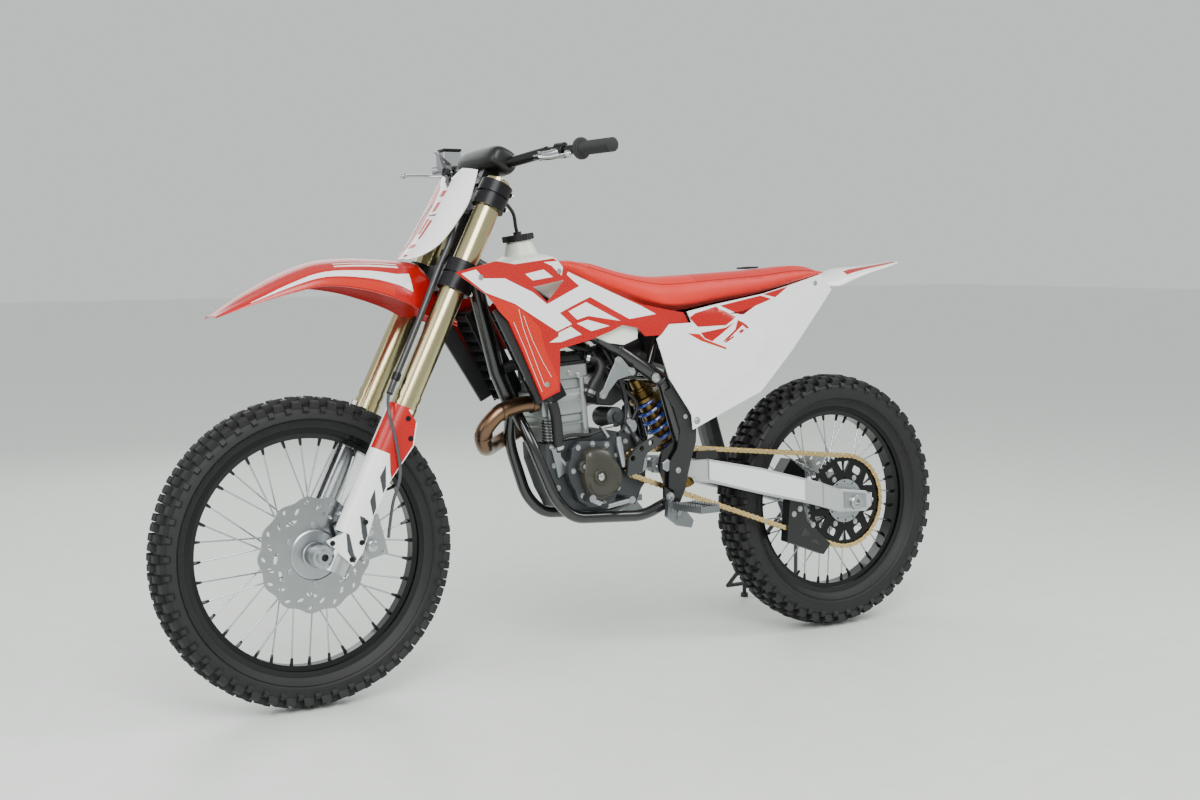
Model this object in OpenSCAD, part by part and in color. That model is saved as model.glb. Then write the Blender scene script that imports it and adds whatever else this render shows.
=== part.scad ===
// Motocross dirt bike leaning on a plug-in triangle stand.
// Upright bike axes: X forward from the rear axle, Y to the rider's left, Z up from the floor.
// The whole bike is then tilted by lean_deg onto its stand and centred over the origin.

/* [Wheels] */
// Distance between the two axles
wheelbase = 1485; // [1240:5:1780]
// Radius of the front tyre over its knobs
front_tyre_r = 350; // [325:1:420]
// Radius of the rear tyre over its knobs
rear_tyre_r = 341; // [318:1:400]
// Half width of the front tyre
front_tyre_hw = 45; // [38:1:50]
// Half width of the rear tyre
rear_tyre_hw = 55; // [48:1:58]
// Outer radius of the front rim's edges
front_rim_r = 278; // [265:1:285]
// Outer radius of the rear rim's edges
rear_rim_r = 253; // [240:1:262]
// Half of the tyre crown that is flat
crown_hw = 14; // [8:1:18]
// Number of spokes in each wheel
spoke_count = 36; // [28:4:40]
// Radius of one spoke
spoke_r = 1.9; // [1.6:0.1:2.2]
// Radius of the front axle
front_axle_r = 11; // [9:0.5:13]
// Radius of the rear axle
rear_axle_r = 12.5; // [10:0.5:14]
// Radial running clearance of the wheel bearings on the axles
bearing_gap = 0.08; // [0.01:0.01:0.1]

/* [Brakes] */
// Radius of the front brake disc
front_disc_r = 130; // [110:1:135]
// Radius of the rear brake disc
rear_disc_r = 120; // [100:1:125]
// Thickness of both brake discs
disc_t = 3; // [2.5:0.5:4]
// Sideways place of the front disc, left of centre
front_disc_y = 62; // [58:1:66]
// Sideways place of the rear disc, right of centre
rear_disc_y = 62; // [58:1:68]
// Air between a disc and its caliper's slot
caliper_gap = 5; // [5:0.5:7]

/* [Drive] */
// Teeth on the rear sprocket
rear_teeth = 48; // [44:1:50]
// Teeth on the front sprocket
front_teeth = 13; // [12:1:14]
// Length of one chain link from pin to pin
chain_pitch = 15.875; // [15.875]
// Sideways place of the chain, left of centre
chain_y = 74; // [72:1:77]
// Half width of the chain over its pins
chain_hw = 9; // [8:0.5:10]
// Half height of the chain's plates
chain_hh = 7.5; // [6.5:0.5:8]

/* [Steering] */
// Steering axis angle from upright
rake_deg = 27; // [24:0.5:30]
// Distance of the fork tubes behind the front axle
axle_lead = 40; // [32:1:44]
// Distance of the steering axis behind the fork tubes
clamp_offset = 22; // [18:1:26]
// Half the distance between the two fork tubes
fork_y = 107; // [100:1:112]
// Radius of the outer fork tubes
fork_outer_r = 29; // [27:0.5:31]
// Radius of the inner fork tubes
fork_inner_r = 24; // [22:0.5:25]
// Height of the bottom of the outer tubes, along the fork from the axle
fork_outer_low = 358; // [340:1:380]
// Height of the top of the outer tubes, along the fork from the axle
fork_top = 940; // [936:1:960]
// Radius of the steering stem
stem_r = 14.5; // [12:0.5:16]
// Half width of the handlebar over its grips
bar_hw = 400; // [360:1:430]
// Radius of the handlebar's thick middle
bar_r = 14; // [12:0.5:15]

/* [Stand] */
// Lean of the bike to its right, onto the stand
lean_deg = 3.24; // [2:0.02:5]
// Distance of the stand's base rod to the right of the wheels' track
stand_reach = 378; // [320:2:430]
// Length of the stand's base rod
stand_base = 250; // [200:5:300]
// Height of the base rod's centre line above the floor
stand_h = 40; // [25:1:50]
// Radius of the stand's rod
stand_rod_r = 6; // [5:0.5:8]

/* [Hidden] */
$fn = 48;

touch = 0.3;                 // gap left between pieces that sit on each other
seat_gap = 0.1;              // radial gap of a fixed shaft in its seat
RA = [0, 0, rear_tyre_r];    // rear axle centre
FA = [wheelbase, 0, front_tyre_r];  // front axle centre
front_pitch_r = chain_pitch / (2 * sin(180 / front_teeth));
rear_pitch_r = chain_pitch / (2 * sin(180 / rear_teeth));
PV = [585, 0, rear_tyre_r + 141];   // swingarm pivot
FS = [648, 0, rear_tyre_r + 149];   // front sprocket centre
BS = rear_tyre_r - 341;      // lift of the body when the rear tyre grows
slider_top = [455, rear_tyre_r + 164];  // chain pitch line over the swingarm's slider
steer_x = -(axle_lead + clamp_offset);  // steering axis in the fork's own axes

clamp_low = [661, 731];      // lower clamp, along the fork from the axle
clamp_high = [872, 934];     // upper clamp
head_span = [737, 866];      // head tube
stem_gap = 0.08;             // radial running clearance of the steering stem

function unit(v) = v / norm(v);
// Head point: middle of the head tube, which the front of the frame and body follow.
function fork_pt(x, z) = [wheelbase + x * cos(rake_deg) - z * sin(rake_deg), front_tyre_r + x * sin(rake_deg) + z * cos(rake_deg)];
HD = fork_pt(steer_x, 800);
hd_x = HD[0] - 1066.6;       // forward shift of the head against its usual place
hd_z = HD[1] - 1034.6;       // lift of the head against its usual place

// Bar centre line on the left, in the fork's own axes: clamp, bends and end.
BAR = [[-40, 0, 988], [-40, 62, 988], [-84, 196, 1032], [-118, 280, 1048], [-134, bar_hw - 4, 1052]];
bar_u = unit(BAR[4] - BAR[3]);
GRIP_END = BAR[4] + 4 * bar_u;

// Tilt and centring of the whole bike.
bar_end_z = fork_pt(GRIP_END[0], GRIP_END[2])[1];
cx = (wheelbase + front_tyre_r - rear_tyre_r) / 2;
cy = bar_end_z * sin(lean_deg);
cz = crown_hw * sin(lean_deg);

module world() translate([-cx, cy, cz]) children();
module place() world() rotate([lean_deg, 0, 0]) children();
module upright() rotate([-lean_deg, 0, 0]) children();
module fork_space() translate(FA) rotate([0, -rake_deg, 0]) children();
module both() {
  children();
  mirror([0, 1, 0]) children();
}
function flip(p) = [p[0], -p[1], p[2]];

// Straight round bar between two points.
module rod(a, b, r) {
  v = b - a;
  translate(a) rotate([0, acos(v[2] / norm(v)), atan2(v[1], v[0])]) cylinder(h = norm(v), r = r);
}
// Bent round bar through a list of points, with round corners.
module bent_rod(pts, r) {
  for (i = [0:len(pts) - 2]) rod(pts[i], pts[i + 1], r);
  for (i = [1:len(pts) - 2]) translate(pts[i]) sphere(r = r + 0.05);
}
// Round piece along Y, from y0 to y1, centred on an XZ point.
module disc_y(c, r, y0, y1) translate([c[0], y1, c[len(c) - 1]]) rotate([90, 0, 0]) cylinder(h = y1 - y0, r = r);
// Flat outline in X and Z, extruded along Y from y0 to y1.
module plate(pts, y0, y1) translate([0, y1, 0]) rotate([90, 0, 0]) linear_extrude(y1 - y0) polygon(pts);
// Solid from a profile of [radius, y] points turned about the Y axis.
module turned(profile) rotate([-90, 0, 0]) rotate_extrude($fn = 96) polygon([for (p = profile) [p[0], p[1]]]);
// Upright band in plan, t thick, whose outer face passes through [x, y] points.
module plan_band(pts, t, z0, z1)
  translate([0, 0, z0]) linear_extrude(z1 - z0)
    polygon(concat(pts, [for (i = [len(pts) - 1:-1:0]) [pts[i][0], pts[i][1] - t]]));

// Faces as listed, or turned over.
function facing(keep, faces) = keep ? faces : [for (f = faces) [f[2], f[1], f[0]]];
function total(v) = [for (k = [0:2]) [for (p = v) p[k]] * [for (p = v) 1]];
// Closed solid through rings of equal point count; ends are closed by fans.
module loft(rings) {
  n = len(rings[0]);
  m = len(rings);
  mid = function(r) total(r) / n;
  pts = concat([for (r = rings) each r], [mid(rings[0]), mid(rings[m - 1])]);
  area = [for (j = [0:n - 1]) cross(rings[0][j] - pts[m * n], rings[0][(j + 1) % n] - pts[m * n])];
  turn = total(area) * (pts[m * n + 1] - pts[m * n]);
  polyhedron(pts, facing(turn < 0, concat(
    [for (i = [0:m - 2], j = [0:n - 1]) [i * n + j, i * n + (j + 1) % n, (i + 1) * n + (j + 1) % n]],
    [for (i = [0:m - 2], j = [0:n - 1]) [i * n + j, (i + 1) * n + (j + 1) % n, (i + 1) * n + j]],
    [for (j = [0:n - 1]) [m * n, (j + 1) % n, j]],
    [for (j = [0:n - 1]) [m * n + 1, (m - 1) * n + j, (m - 1) * n + (j + 1) % n]])));
}
// Thin curved sheet over a grid of points, thickened by the vector v.
module sheet(g, v) {
  m = len(g);
  n = len(g[0]);
  a = function(i, j) i * n + j;
  b = function(i, j) m * n + i * n + j;
  q = function(p, r, s, t) [[p, r, s], [p, s, t]];
  side = cross(g[0][1] - g[0][0], g[1][0] - g[0][0]) * v;
  polyhedron(concat([for (r = g) each r], [for (r = g) each [for (p = r) p + v]]), facing(side > 0, concat(
    [for (i = [0:m - 2], j = [0:n - 2]) each q(a(i, j), a(i, j + 1), a(i + 1, j + 1), a(i + 1, j))],
    [for (i = [0:m - 2], j = [0:n - 2]) each q(b(i, j), b(i + 1, j), b(i + 1, j + 1), b(i, j + 1))],
    [for (i = [0:m - 2]) each q(a(i, 0), a(i + 1, 0), b(i + 1, 0), b(i, 0))],
    [for (i = [0:m - 2]) each q(a(i, n - 1), b(i, n - 1), b(i + 1, n - 1), a(i + 1, n - 1))],
    [for (j = [0:n - 2]) each q(a(0, j), b(0, j), b(0, j + 1), a(0, j + 1))],
    [for (j = [0:n - 2]) each q(a(m - 1, j), a(m - 1, j + 1), b(m - 1, j + 1), b(m - 1, j))])));
}
// Smooth curve through hand-set points, k steps to each span.
function smooth(p, k) = concat([for (i = [0:len(p) - 2], s = [0:k - 1]) let(
    t = s / k,
    p0 = p[max(i - 1, 0)], p1 = p[i], p2 = p[i + 1], p3 = p[min(i + 2, len(p) - 1)])
    0.5 * (2 * p1 + (p2 - p0) * t + (2 * p0 - 5 * p1 + 4 * p2 - p3) * t * t + (3 * p1 - p0 - 3 * p2 + p3) * t * t * t)],
  [p[len(p) - 1]]);
// Round tube swept along a path, n-sided, with ref never along the path.
module swept(path, r, n, ref) {
  m = len(path);
  loft([for (i = [0:m - 1]) let(
      t = unit(path[min(i + 1, m - 1)] - path[max(i - 1, 0)]),
      u = unit(cross(ref, t)),
      w = cross(t, u))
    [for (j = [0:n - 1]) path[i] + r * (cos(360 * j / n) * u + sin(360 * j / n) * w)]]);
}

/* ---------- wheels ---------- */
module tyre(R, hw, rim_r, rim_hw) {
  wall = 7;
  turned([[R, -crown_hw], [R, crown_hw], [R - 7, hw * 0.62], [R - 24, hw], [R - 36, hw + 1],
    [rim_r + 16, hw - 3], [rim_r + touch, rim_hw + 1], [rim_r + touch, rim_hw - 3.8], [rim_r - 8, rim_hw - 4.4],
    [rim_r - 8, rim_hw - 11], [rim_r + 14, hw - 3 - wall], [R - 38, hw + 1 - wall], [R - 30, 0.5 * hw], [R - 22, 0],
    [R - 30, -0.5 * hw], [R - 38, -hw - 1 + wall], [rim_r + 14, -hw + 3 + wall], [rim_r - 8, 11 - rim_hw],
    [rim_r - 8, 4.4 - rim_hw], [rim_r + touch, 3.8 - rim_hw], [rim_r + touch, -rim_hw - 1], [rim_r + 16, 3 - hw],
    [R - 36, -hw - 1], [R - 24, -hw], [R - 7, -hw * 0.62]]);
}
module rim(rim_r, rim_hw) {
  turned([[rim_r, rim_hw], [rim_r, rim_hw - 3.5], [rim_r - 8.3, rim_hw - 4], [rim_r - 8.3, rim_hw - 11.5],
    [rim_r - 20, rim_hw - 14], [rim_r - 20, 14 - rim_hw], [rim_r - 8.3, 11.5 - rim_hw], [rim_r - 8.3, 4 - rim_hw],
    [rim_r, 3.5 - rim_hw], [rim_r, -rim_hw], [rim_r - 12, -rim_hw], [rim_r - 13, 8 - rim_hw],
    [rim_r - 24, 10 - rim_hw], [rim_r - 24, rim_hw - 10], [rim_r - 13, rim_hw - 8], [rim_r - 12, rim_hw]]);
}
// Laced spokes: each flange takes half of them, leaning forward and back in turn.
module spokes(rim_r, flange_r, flange_y) {
  for (i = [0:spoke_count - 1]) {
    side = i % 2 == 0 ? 1 : -1;
    turn = floor(i / 2) % 2 == 0 ? 1 : -1;
    a = 360 * i / spoke_count;
    b = a + turn * 62;
    y0 = side * (flange_y + turn * (spoke_r + 0.4));
    rod([flange_r * cos(b), y0, flange_r * sin(b)], [(rim_r - 22) * cos(a), side * 5, (rim_r - 22) * sin(a)], spoke_r);
  }
}

/* ---------- front wheel ---------- */
front_flange_y = 27;
front_flange_r = 36;
front_hub_l = front_disc_y - disc_t / 2 - touch;
module front_tyre() color("#1b1b1c") place() translate(FA) tyre(front_tyre_r, front_tyre_hw, front_rim_r, 24);
module front_rim() color("#101012") place() translate(FA) rim(front_rim_r, 24);
module front_spokes() color("#c9ccd0") place() translate(FA) spokes(front_rim_r, front_flange_r, front_flange_y);
module front_hub() color("#aeb2b6") place() translate(FA)
  turned([[front_axle_r + bearing_gap, -62], [front_axle_r + bearing_gap, 66], [26, 66], [28, front_disc_y + 2],
    [52, front_disc_y + 2], [56, front_hub_l + disc_t + 2 * touch - 2], [56, front_hub_l], [60, front_hub_l],
    [60, front_hub_l - 5], [34, front_flange_y + 14], [front_flange_r + 5, front_flange_y + 3],
    [front_flange_r + 5, front_flange_y - 3], [23, front_flange_y - 9], [21, 0], [23, 9 - front_flange_y],
    [front_flange_r + 5, 3 - front_flange_y], [front_flange_r + 5, -front_flange_y - 3], [28, -45], [25, -62]]);
// Scalloped disc with a ring of slots, on a spider with a round eye.
module wave_disc(r, inner_r, eye_r, waves) {
  rotate([90, 0, 0]) translate([0, 0, -disc_t / 2]) linear_extrude(disc_t) difference() {
    circle(r = r - 5, $fn = 96);
    for (k = [0:waves - 1]) rotate(360 * (k + 0.5) / waves) translate([r + 14, 0]) circle(r = 24, $fn = 48);
    circle(r = eye_r, $fn = 96);
    for (k = [0:waves - 1]) rotate(360 * k / waves) translate([r - 22, 0]) circle(r = 6, $fn = 24);
    for (k = [0:5]) rotate(60 * k) translate([inner_r - 12, 0]) scale([0.6, 1]) circle(r = 15, $fn = 32);
  }
  rotate([90, 0, 0]) translate([0, 0, -disc_t / 2]) linear_extrude(disc_t)
    for (k = [0:waves - 1]) rotate(360 * k / waves) translate([r - 15, 0]) difference() {
      circle(r = 15, $fn = 48);
      circle(r = 6.5, $fn = 24);
    }
}
module front_disc() color("#c4c6c8") place() translate(FA + [0, front_disc_y, 0])
  wave_disc(front_disc_r, 92, 56 + touch, 12);

/* ---------- rear wheel ---------- */
rear_flange_y = 30;
rear_flange_r = 42;
sprocket_t = 6;
rear_seat_y = chain_y - sprocket_t / 2 - touch;
module rear_tyre() color("#1b1b1c") place() translate(RA) tyre(rear_tyre_r, rear_tyre_hw, rear_rim_r, 29);
module rear_rim() color("#101012") place() translate(RA) rim(rear_rim_r, 29);
module rear_spokes() color("#c9ccd0") place() translate(RA) spokes(rear_rim_r, rear_flange_r, rear_flange_y);
module rear_hub() color("#aeb2b6") place() translate(RA)
  turned([[rear_axle_r + bearing_gap, -76], [rear_axle_r + bearing_gap, 84], [26, 84], [30, chain_y + 5],
    [46, chain_y + 5], [46, rear_seat_y], [62, rear_seat_y], [62, rear_seat_y - 7], [40, rear_flange_y + 14],
    [rear_flange_r + 5, rear_flange_y + 3], [rear_flange_r + 5, rear_flange_y - 3], [26, rear_flange_y - 9], [24, 0],
    [26, 9 - rear_flange_y], [rear_flange_r + 5, 3 - rear_flange_y], [rear_flange_r + 5, -rear_flange_y - 3],
    [38, -46], [58, touch + disc_t / 2 + 5 - rear_disc_y], [58, touch + disc_t / 2 - rear_disc_y],
    [44, touch + disc_t / 2 - rear_disc_y], [44, -rear_disc_y - 4], [26, -rear_disc_y - 6], [26, -76]]);
module rear_disc() color("#c4c6c8") place() translate(RA + [0, -rear_disc_y, 0])
  wave_disc(rear_disc_r, 84, 44 + touch, 12);
// Toothless blank that sits just inside the chain's loop.
module rear_sprocket() color("#15161a") place() translate(RA + [0, chain_y, 0])
  rotate([90, 0, 0]) translate([0, 0, -sprocket_t / 2]) linear_extrude(sprocket_t) difference() {
    circle(r = rear_pitch_r - chain_hh - 1, $fn = 96);
    circle(r = 46 + touch, $fn = 96);
    for (k = [0:5]) rotate(60 * k) {
      polygon([[98, 0], [78, 17], [78, -17]]);
      rotate(30) polygon([[70, 0], [103, 19], [103, -19]]);
    }
  }

/* ---------- axles ---------- */
// Both axles are hollow; the rear one takes the stand's pin on the right.
axle_bore_r = 8;
lug_in = 90;
lug_out = 120;
module front_axle() color("#d5d8da") place() translate(FA) difference() {
  union() {
    disc_y([0, 0, 0], front_axle_r, -lug_out - 4, lug_out + 2);
    disc_y([0, 0, 0], 16, lug_out + touch, lug_out + 7);
    disc_y([0, 0, 0], 17, 66.5, lug_in - touch);
    disc_y([0, 0, 0], 17, -lug_in + touch, -62.5);
  }
  disc_y([0, 0, 0], axle_bore_r, lug_out - 40, lug_out + 8);
}
arm_rear_in = chain_y + chain_hw + 8;
arm_rear_out = arm_rear_in + 30;
module rear_axle() color("#c2c5c8") place() translate(RA) difference() {
  union() {
    disc_y([0, 0, 0], rear_axle_r, -arm_rear_out - 8, arm_rear_out + 6);
    disc_y([0, 0, 0], 19, arm_rear_out + touch, arm_rear_out + 7);
    disc_y([0, 0, 0], 19, -arm_rear_out - 9, -arm_rear_out - touch);
    disc_y([0, 0, 0], 19, 84.5, arm_rear_in - touch);
    disc_y([0, 0, 0], 19, -arm_rear_in + touch, -76.5);
  }
  disc_y([0, 0, 0], axle_bore_r, arm_rear_out - 53, arm_rear_out + 8);
  disc_y([0, 0, 0], axle_bore_r, -arm_rear_out - 10, 28 - arm_rear_out);
}

/* ---------- fork and steering ---------- */
module on_tube() translate([-axle_lead, fork_y, 0]) children();
module tube_ring(z0, z1, r) on_tube() translate([0, 0, z0]) cylinder(h = z1 - z0, r = r);

// Clamp at one height: two tube rings on a bridge through the stem.
module clamp_body(z, wall) {
  both() tube_ring(z[0], z[1], fork_outer_r + wall);
  translate([0, 0, z[0]]) linear_extrude(z[1] - z[0]) polygon([[-axle_lead - 30, -fork_y], [steer_x - 21, -28],
    [steer_x - 21, 28], [-axle_lead - 30, fork_y], [-axle_lead + 14, fork_y], [steer_x + 30, 36],
    [steer_x + 30, -36], [-axle_lead + 14, -fork_y]]);
}
module triple_clamps() color("#141417") place() fork_space() difference() {
  union() {
    clamp_body(clamp_low, 9);
    clamp_body(clamp_high, 9);
    translate([steer_x, 0, clamp_low[0] + 4]) cylinder(h = clamp_high[1] - clamp_low[0] + 2, r = stem_r);
    translate([steer_x, 0, clamp_high[1] - 1]) cylinder(h = 11, r = 19);
  }
  both() tube_ring(clamp_low[0] - 1, clamp_high[1] + 1, fork_outer_r + 0.02);
  // Parting groove between the two rings of each clamp.
  both() for (z = [(clamp_low[0] + clamp_low[1]) / 2, (clamp_high[0] + clamp_high[1]) / 2])
    on_tube() translate([0, 0, z - 3]) difference() {
      cylinder(h = 6, r = fork_outer_r + 12);
      cylinder(h = 6, r = fork_outer_r + 5);
    }
}
module fork_tubes() color("#b9ab84") place() fork_space() difference() {
  both() {
    tube_ring(fork_outer_low, fork_top, fork_outer_r);
    tube_ring(fork_outer_low, fork_outer_low + 22, fork_outer_r + 1.5);
    tube_ring(fork_outer_low + 34, fork_outer_low + 48, fork_outer_r + 1.5);
  }
  both() tube_ring(fork_outer_low - 1, fork_top - 12, fork_inner_r + touch);
}
// Inner tube with its cast lug, which clamps the axle.
module fork_legs() color("#b6babd") place() fork_space() difference() {
  both() {
    tube_ring(20, fork_top - 14, fork_inner_r);
    tube_ring(-22, 62, fork_inner_r + 4);
    disc_y([0, 0, 0], 25, lug_in, lug_out);
    plate([[-axle_lead, -22], [0, -24], [0, 24], [-axle_lead, 48]], lug_in, lug_out);
  }
  disc_y([0, 0, 0], front_axle_r + seat_gap, -lug_out - 1, lug_out + 1);
}
// Plastic guard wrapped round the front and outside of each leg, with a fin behind.
guard_r = fork_inner_r + 9;
module fork_guards() color("#eef0ee") place() fork_space() both() difference() {
  union() {
    on_tube() translate([0, 0, 66]) difference() {
      cylinder(h = 304, r = guard_r + 3);
      translate([0, 0, 8]) cylinder(h = 297, r = guard_r);
      translate([0, 0, -1]) cylinder(h = 10, r = fork_inner_r + touch);
      translate([-60, -60, -1]) cube([120, 48, 306]);
      translate([-60, -60, -1]) cube([48, 120, 306]);
    }
    plate([[-axle_lead + 3, 66], [-axle_lead + 26, 66], [18, 34], [14, 30], [-62, 6], [-70, 40], [-60, 134],
      [-64, 206], [-84, 300], [-70, 350], [-axle_lead + 3, 368]], fork_y + guard_r - 1, fork_y + guard_r + 3);
  }
  disc_y([0, 0, 0], 27, lug_in, fork_y + guard_r + 4);
}

/* ---------- front bodywork ---------- */
// Fender stations: [distance from the axle, crown height, half width, drop to the edge].
FENDER = [[190, 531, 40, 3], [150, 555, 54, 14], [96, 585, 68, 27], [33, 616, 80, 40], [-41, 641, 88, 51],
  [-121, 648, 93, 66], [-190, 648, 93, 84], [-250, 645, 86, 104], [-290, 640, 70, 122], [-316, 606, 62, 84],
  [-324, 560, 58, 48], [-370, 524, 54, 30]];
module front_fender() color("#d11a1a") place() {
  translate(FA) sheet([for (s = FENDER) [for (k = [-5:5])
    [s[0], s[2] * sin(18 * k), s[1] - s[3] * (1 - cos(18 * k))]]], [0, 0, -3.5]);
  fork_space() translate([-axle_lead - 18, 0, clamp_low[0] - 26]) cylinder(h = 26 - touch, r = 16);
}
// Plate rows: [height along the fork, centre's forward place, edge's forward place, half width].
PLATE = [[695, 66, 60, 30], [714, 62, 42, 66], [760, 52, 20, 92], [850, 42, 6, 108], [905, 38, 8, 104], [946, 34, 10, 92]];
module number_plate() color("#f2f3f2") place() fork_space() difference() {
  union() {
    sheet([for (s = PLATE) [for (k = [-4:4]) let(t = k / 4)
      [s[1] - (s[1] - s[2]) * t * t, s[3] * t, s[0]]]], [-3, 0, 0]);
    // Posts against the front of the upper clamp.
    both() rod([-29.3, 62, 905], [26, 62, 905], 4);
  }
  translate([0, 0, 962]) scale([1, 2.2, 1]) rotate([0, 90, 0]) cylinder(h = 100, r = 24);
  // Slot where the brake hose passes back through the plate.
  rod([64, 19, 942], [14, 36, 852], 10);
}

/* ---------- handlebar ---------- */
bar_end_bore_r = 8;
module handlebar() color("#17181a") place() fork_space() {
  both() {
    rod(BAR[0], BAR[1], bar_r);
    rod(BAR[1], BAR[2], bar_r - 1);
    translate(BAR[1]) sphere(r = bar_r + 0.05);
    rod(BAR[2], BAR[3], 11);
    translate(BAR[2]) sphere(r = bar_r - 0.9);
    translate(BAR[3]) sphere(r = 11.02);
    difference() {
      rod(BAR[3], BAR[4], 11);
      rod(BAR[3] + (BAR[4] - BAR[3]) * 0.5, BAR[4] + (BAR[4] - BAR[3]) * 0.1, bar_end_bore_r);
    }
    // Bar mount: post on the upper clamp with its cap.
    translate([-60, 24, clamp_high[1] + touch]) cube([40, 24, 1006 - clamp_high[1]]);
  }
}
module bar_pad() color("#1a1a1c") place() fork_space() difference() {
  union() {
    translate([-76, -100, 1006 + touch]) cube([74, 200, 26]);
    both() translate([-76, 54, 952]) cube([74, 48, 60]);
  }
  both() {
    translate([-90, 40, 940]) cube([110, 14 - touch, 66]);
    rod(BAR[1] - [0, 40, 0], BAR[1] + [0, 20, 0], bar_r + touch);
    rod(BAR[1], BAR[2], bar_r + touch);
  }
}
module grips() color("#1c1c1e") place() fork_space() both() difference() {
  union() {
    rod(BAR[3] + 5 * bar_u, GRIP_END, 16);
    rod(BAR[3] + 5 * bar_u, BAR[3] + 11 * bar_u, 25);
  }
  rod(BAR[3] - 10 * bar_u, GRIP_END + 10 * bar_u, 11 + seat_gap);
}
// Clutch perch and lever on the left, front brake master cylinder and lever on the right.
module hand_controls() color("#9a9ea2") place() fork_space() difference() {
  p = BAR[2] + (BAR[3] - BAR[2]) * 0.45;
  d = unit(BAR[3] - BAR[2]);
  union() {
    for (s = [1, -1]) {
      q = s > 0 ? p : flip(p);
      e = s > 0 ? d : flip(d);
      rod(q - 12 * e, q + 12 * e, 18);
      rod(q + [8, 0, -2], q + [38, -6 * s, -4], 9);
      bent_rod([q + [38, -6 * s, -4], q + [42, 24 * s, -6], q + [14, 128 * s, 6]], 6.5);
      translate(q + [14, 128 * s, 6]) sphere(r = 9);
    }
    // Brake fluid reservoir on the right perch.
    translate(flip(p) + [8, -16, 2]) cube([32, 54, 34]);
  }
  both() rod(p - 40 * d, p + 40 * d, 11 + seat_gap);
  both() translate(BAR[2]) sphere(r = bar_r - 0.6);
}

/* ---------- front caliper and hose ---------- */
// Two-piston caliper that straddles the disc behind the left leg.
module front_caliper() color("#b9bcbe") place() translate(FA) rotate([0, 13, 0]) difference() {
  union() {
    translate([-156, front_disc_y - 26, -46]) cube([62, 54, 92]);
    for (z = [-18, 18]) disc_y([-122, 0, z], 15, front_disc_y + 20, front_disc_y + 34);
    // Carrier arm to the leg's lug.
    translate([-112, front_disc_y + 16, 26]) cube([60, 11.5, 26]);
    translate([-80, front_disc_y + 16, -6]) cube([28, 11.5, 40]);
  }
  disc_y([0, 0, 0], front_disc_r + caliper_gap, front_disc_y - disc_t / 2 - caliper_gap, front_disc_y + disc_t / 2 + caliper_gap);
  rotate([0, -13 - rake_deg, 0]) tube_ring(-70, 170, fork_inner_r + 4 + touch);
}
// Route in the fork's own axes: master cylinder, plate, left leg, caliper.
HOSE = [[-14, -190, 1046], [30, -130, 1062], [58, -50, 1030], [60, -4, 975], [56, 22, 925], [26, 30, 878],
  [10, 60, 830], [4, 84, 770], [6, 92, 696], [4, 96, 600], [4, 102, 500], [6, 110, 420], [8, 118, 380],
  [0, 146, 340], [-40, 147.5, 290], [-78, 147.5, 230], [-96, 128, 170], [-122, 100, 122], [-134, 92, 96]];
module brake_hose() color("#26282a") place() fork_space() swept(smooth(HOSE, 4), 4, 8, [1, 0.2, 0.3]);

/* ---------- frame ---------- */
// Spar line on the left: head, bend over the engine, knee, pivot plate.
SPAR = [[1066 + hd_x, 34, 992 + hd_z], [741, 80, 797 + BS], [574, 86, 690 + BS], [534, 92, 540 + BS]];
spar_r = 18;
module frame_spars() color("#1a1b1d") place() {
  difference() {
    union() {
      both() bent_rod(SPAR, spar_r);
      fork_space() translate([steer_x, 0, head_span[0]]) cylinder(h = head_span[1] - head_span[0], r = 30);
      // Pivot plates, outside the chain.
      both() plate([[522, 540 + BS], [560, 540 + BS], [592, 520 + BS], [604, 480 + BS], [590, 440 + BS], [592, 372 + BS],
        [556, 366 + BS], [528, 420 + BS], [512, 500 + BS]], 94, 103);
      // Cross pin of the shock's top eye.
      rod([606, -80, 700 + BS], [606, 80, 700 + BS], 9);
    }
    fork_space() translate([steer_x, 0, head_span[0] - 40]) cylinder(h = 240, r = stem_r + stem_gap);
    disc_y([PV[0], 0, PV[2]], 10, -110, 110);
  }
}
CRADLE_TOP = fork_pt(steer_x, 812);
module frame_cradle() color("#1a1b1d") place() {
  difference() {
    rod([CRADLE_TOP[0], 0, CRADLE_TOP[1]], [952, 0, 640 + BS], 19);
    fork_space() translate([steer_x, 0, 660]) cylinder(h = 300, r = 30 + touch);
    both() rod(SPAR[0], SPAR[1], spar_r + touch);
  }
  translate([952, 0, 640 + BS]) sphere(r = 19.05);
  both() bent_rod([[952, 0, 640 + BS], [935, 62, 560 + BS], [880, 76, 410 + BS], [840, 78, 372 + BS], [640, 80, 360 + BS],
    [575, 79.6, 385 + BS]], 14);
}
module subframe() color("#1a1b1d") place() {
  both() {
    bent_rod([[604, 57, 712 + BS], [560, 56, 831 + BS], [150, 43, 917 + BS]], 9);
    bent_rod([[560, 61, 650 + BS], [500, 60, 660 + BS], [180, 44.5, 903 + BS]], 8);
  }
  rod([300, -47, 885 + BS], [300, 47, 885 + BS], 7);
  rod([164, -43, 914 + BS], [164, 43, 914 + BS], 7);
}
// Textured guards over the knee of each spar and the pivot plate.
module frame_guards() color("#26272a") place() both()
  plate([[590, 664 + BS], [552, 682 + BS], [512, 634 + BS], [496, 590 + BS], [500, 535 + BS], [518, 486 + BS], [536, 425 + BS],
    [560, 412 + BS], [584, 428 + BS], [580, 489 + BS], [556, 522 + BS], [546, 566 + BS], [562, 620 + BS]], 110.3, 114);

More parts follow.
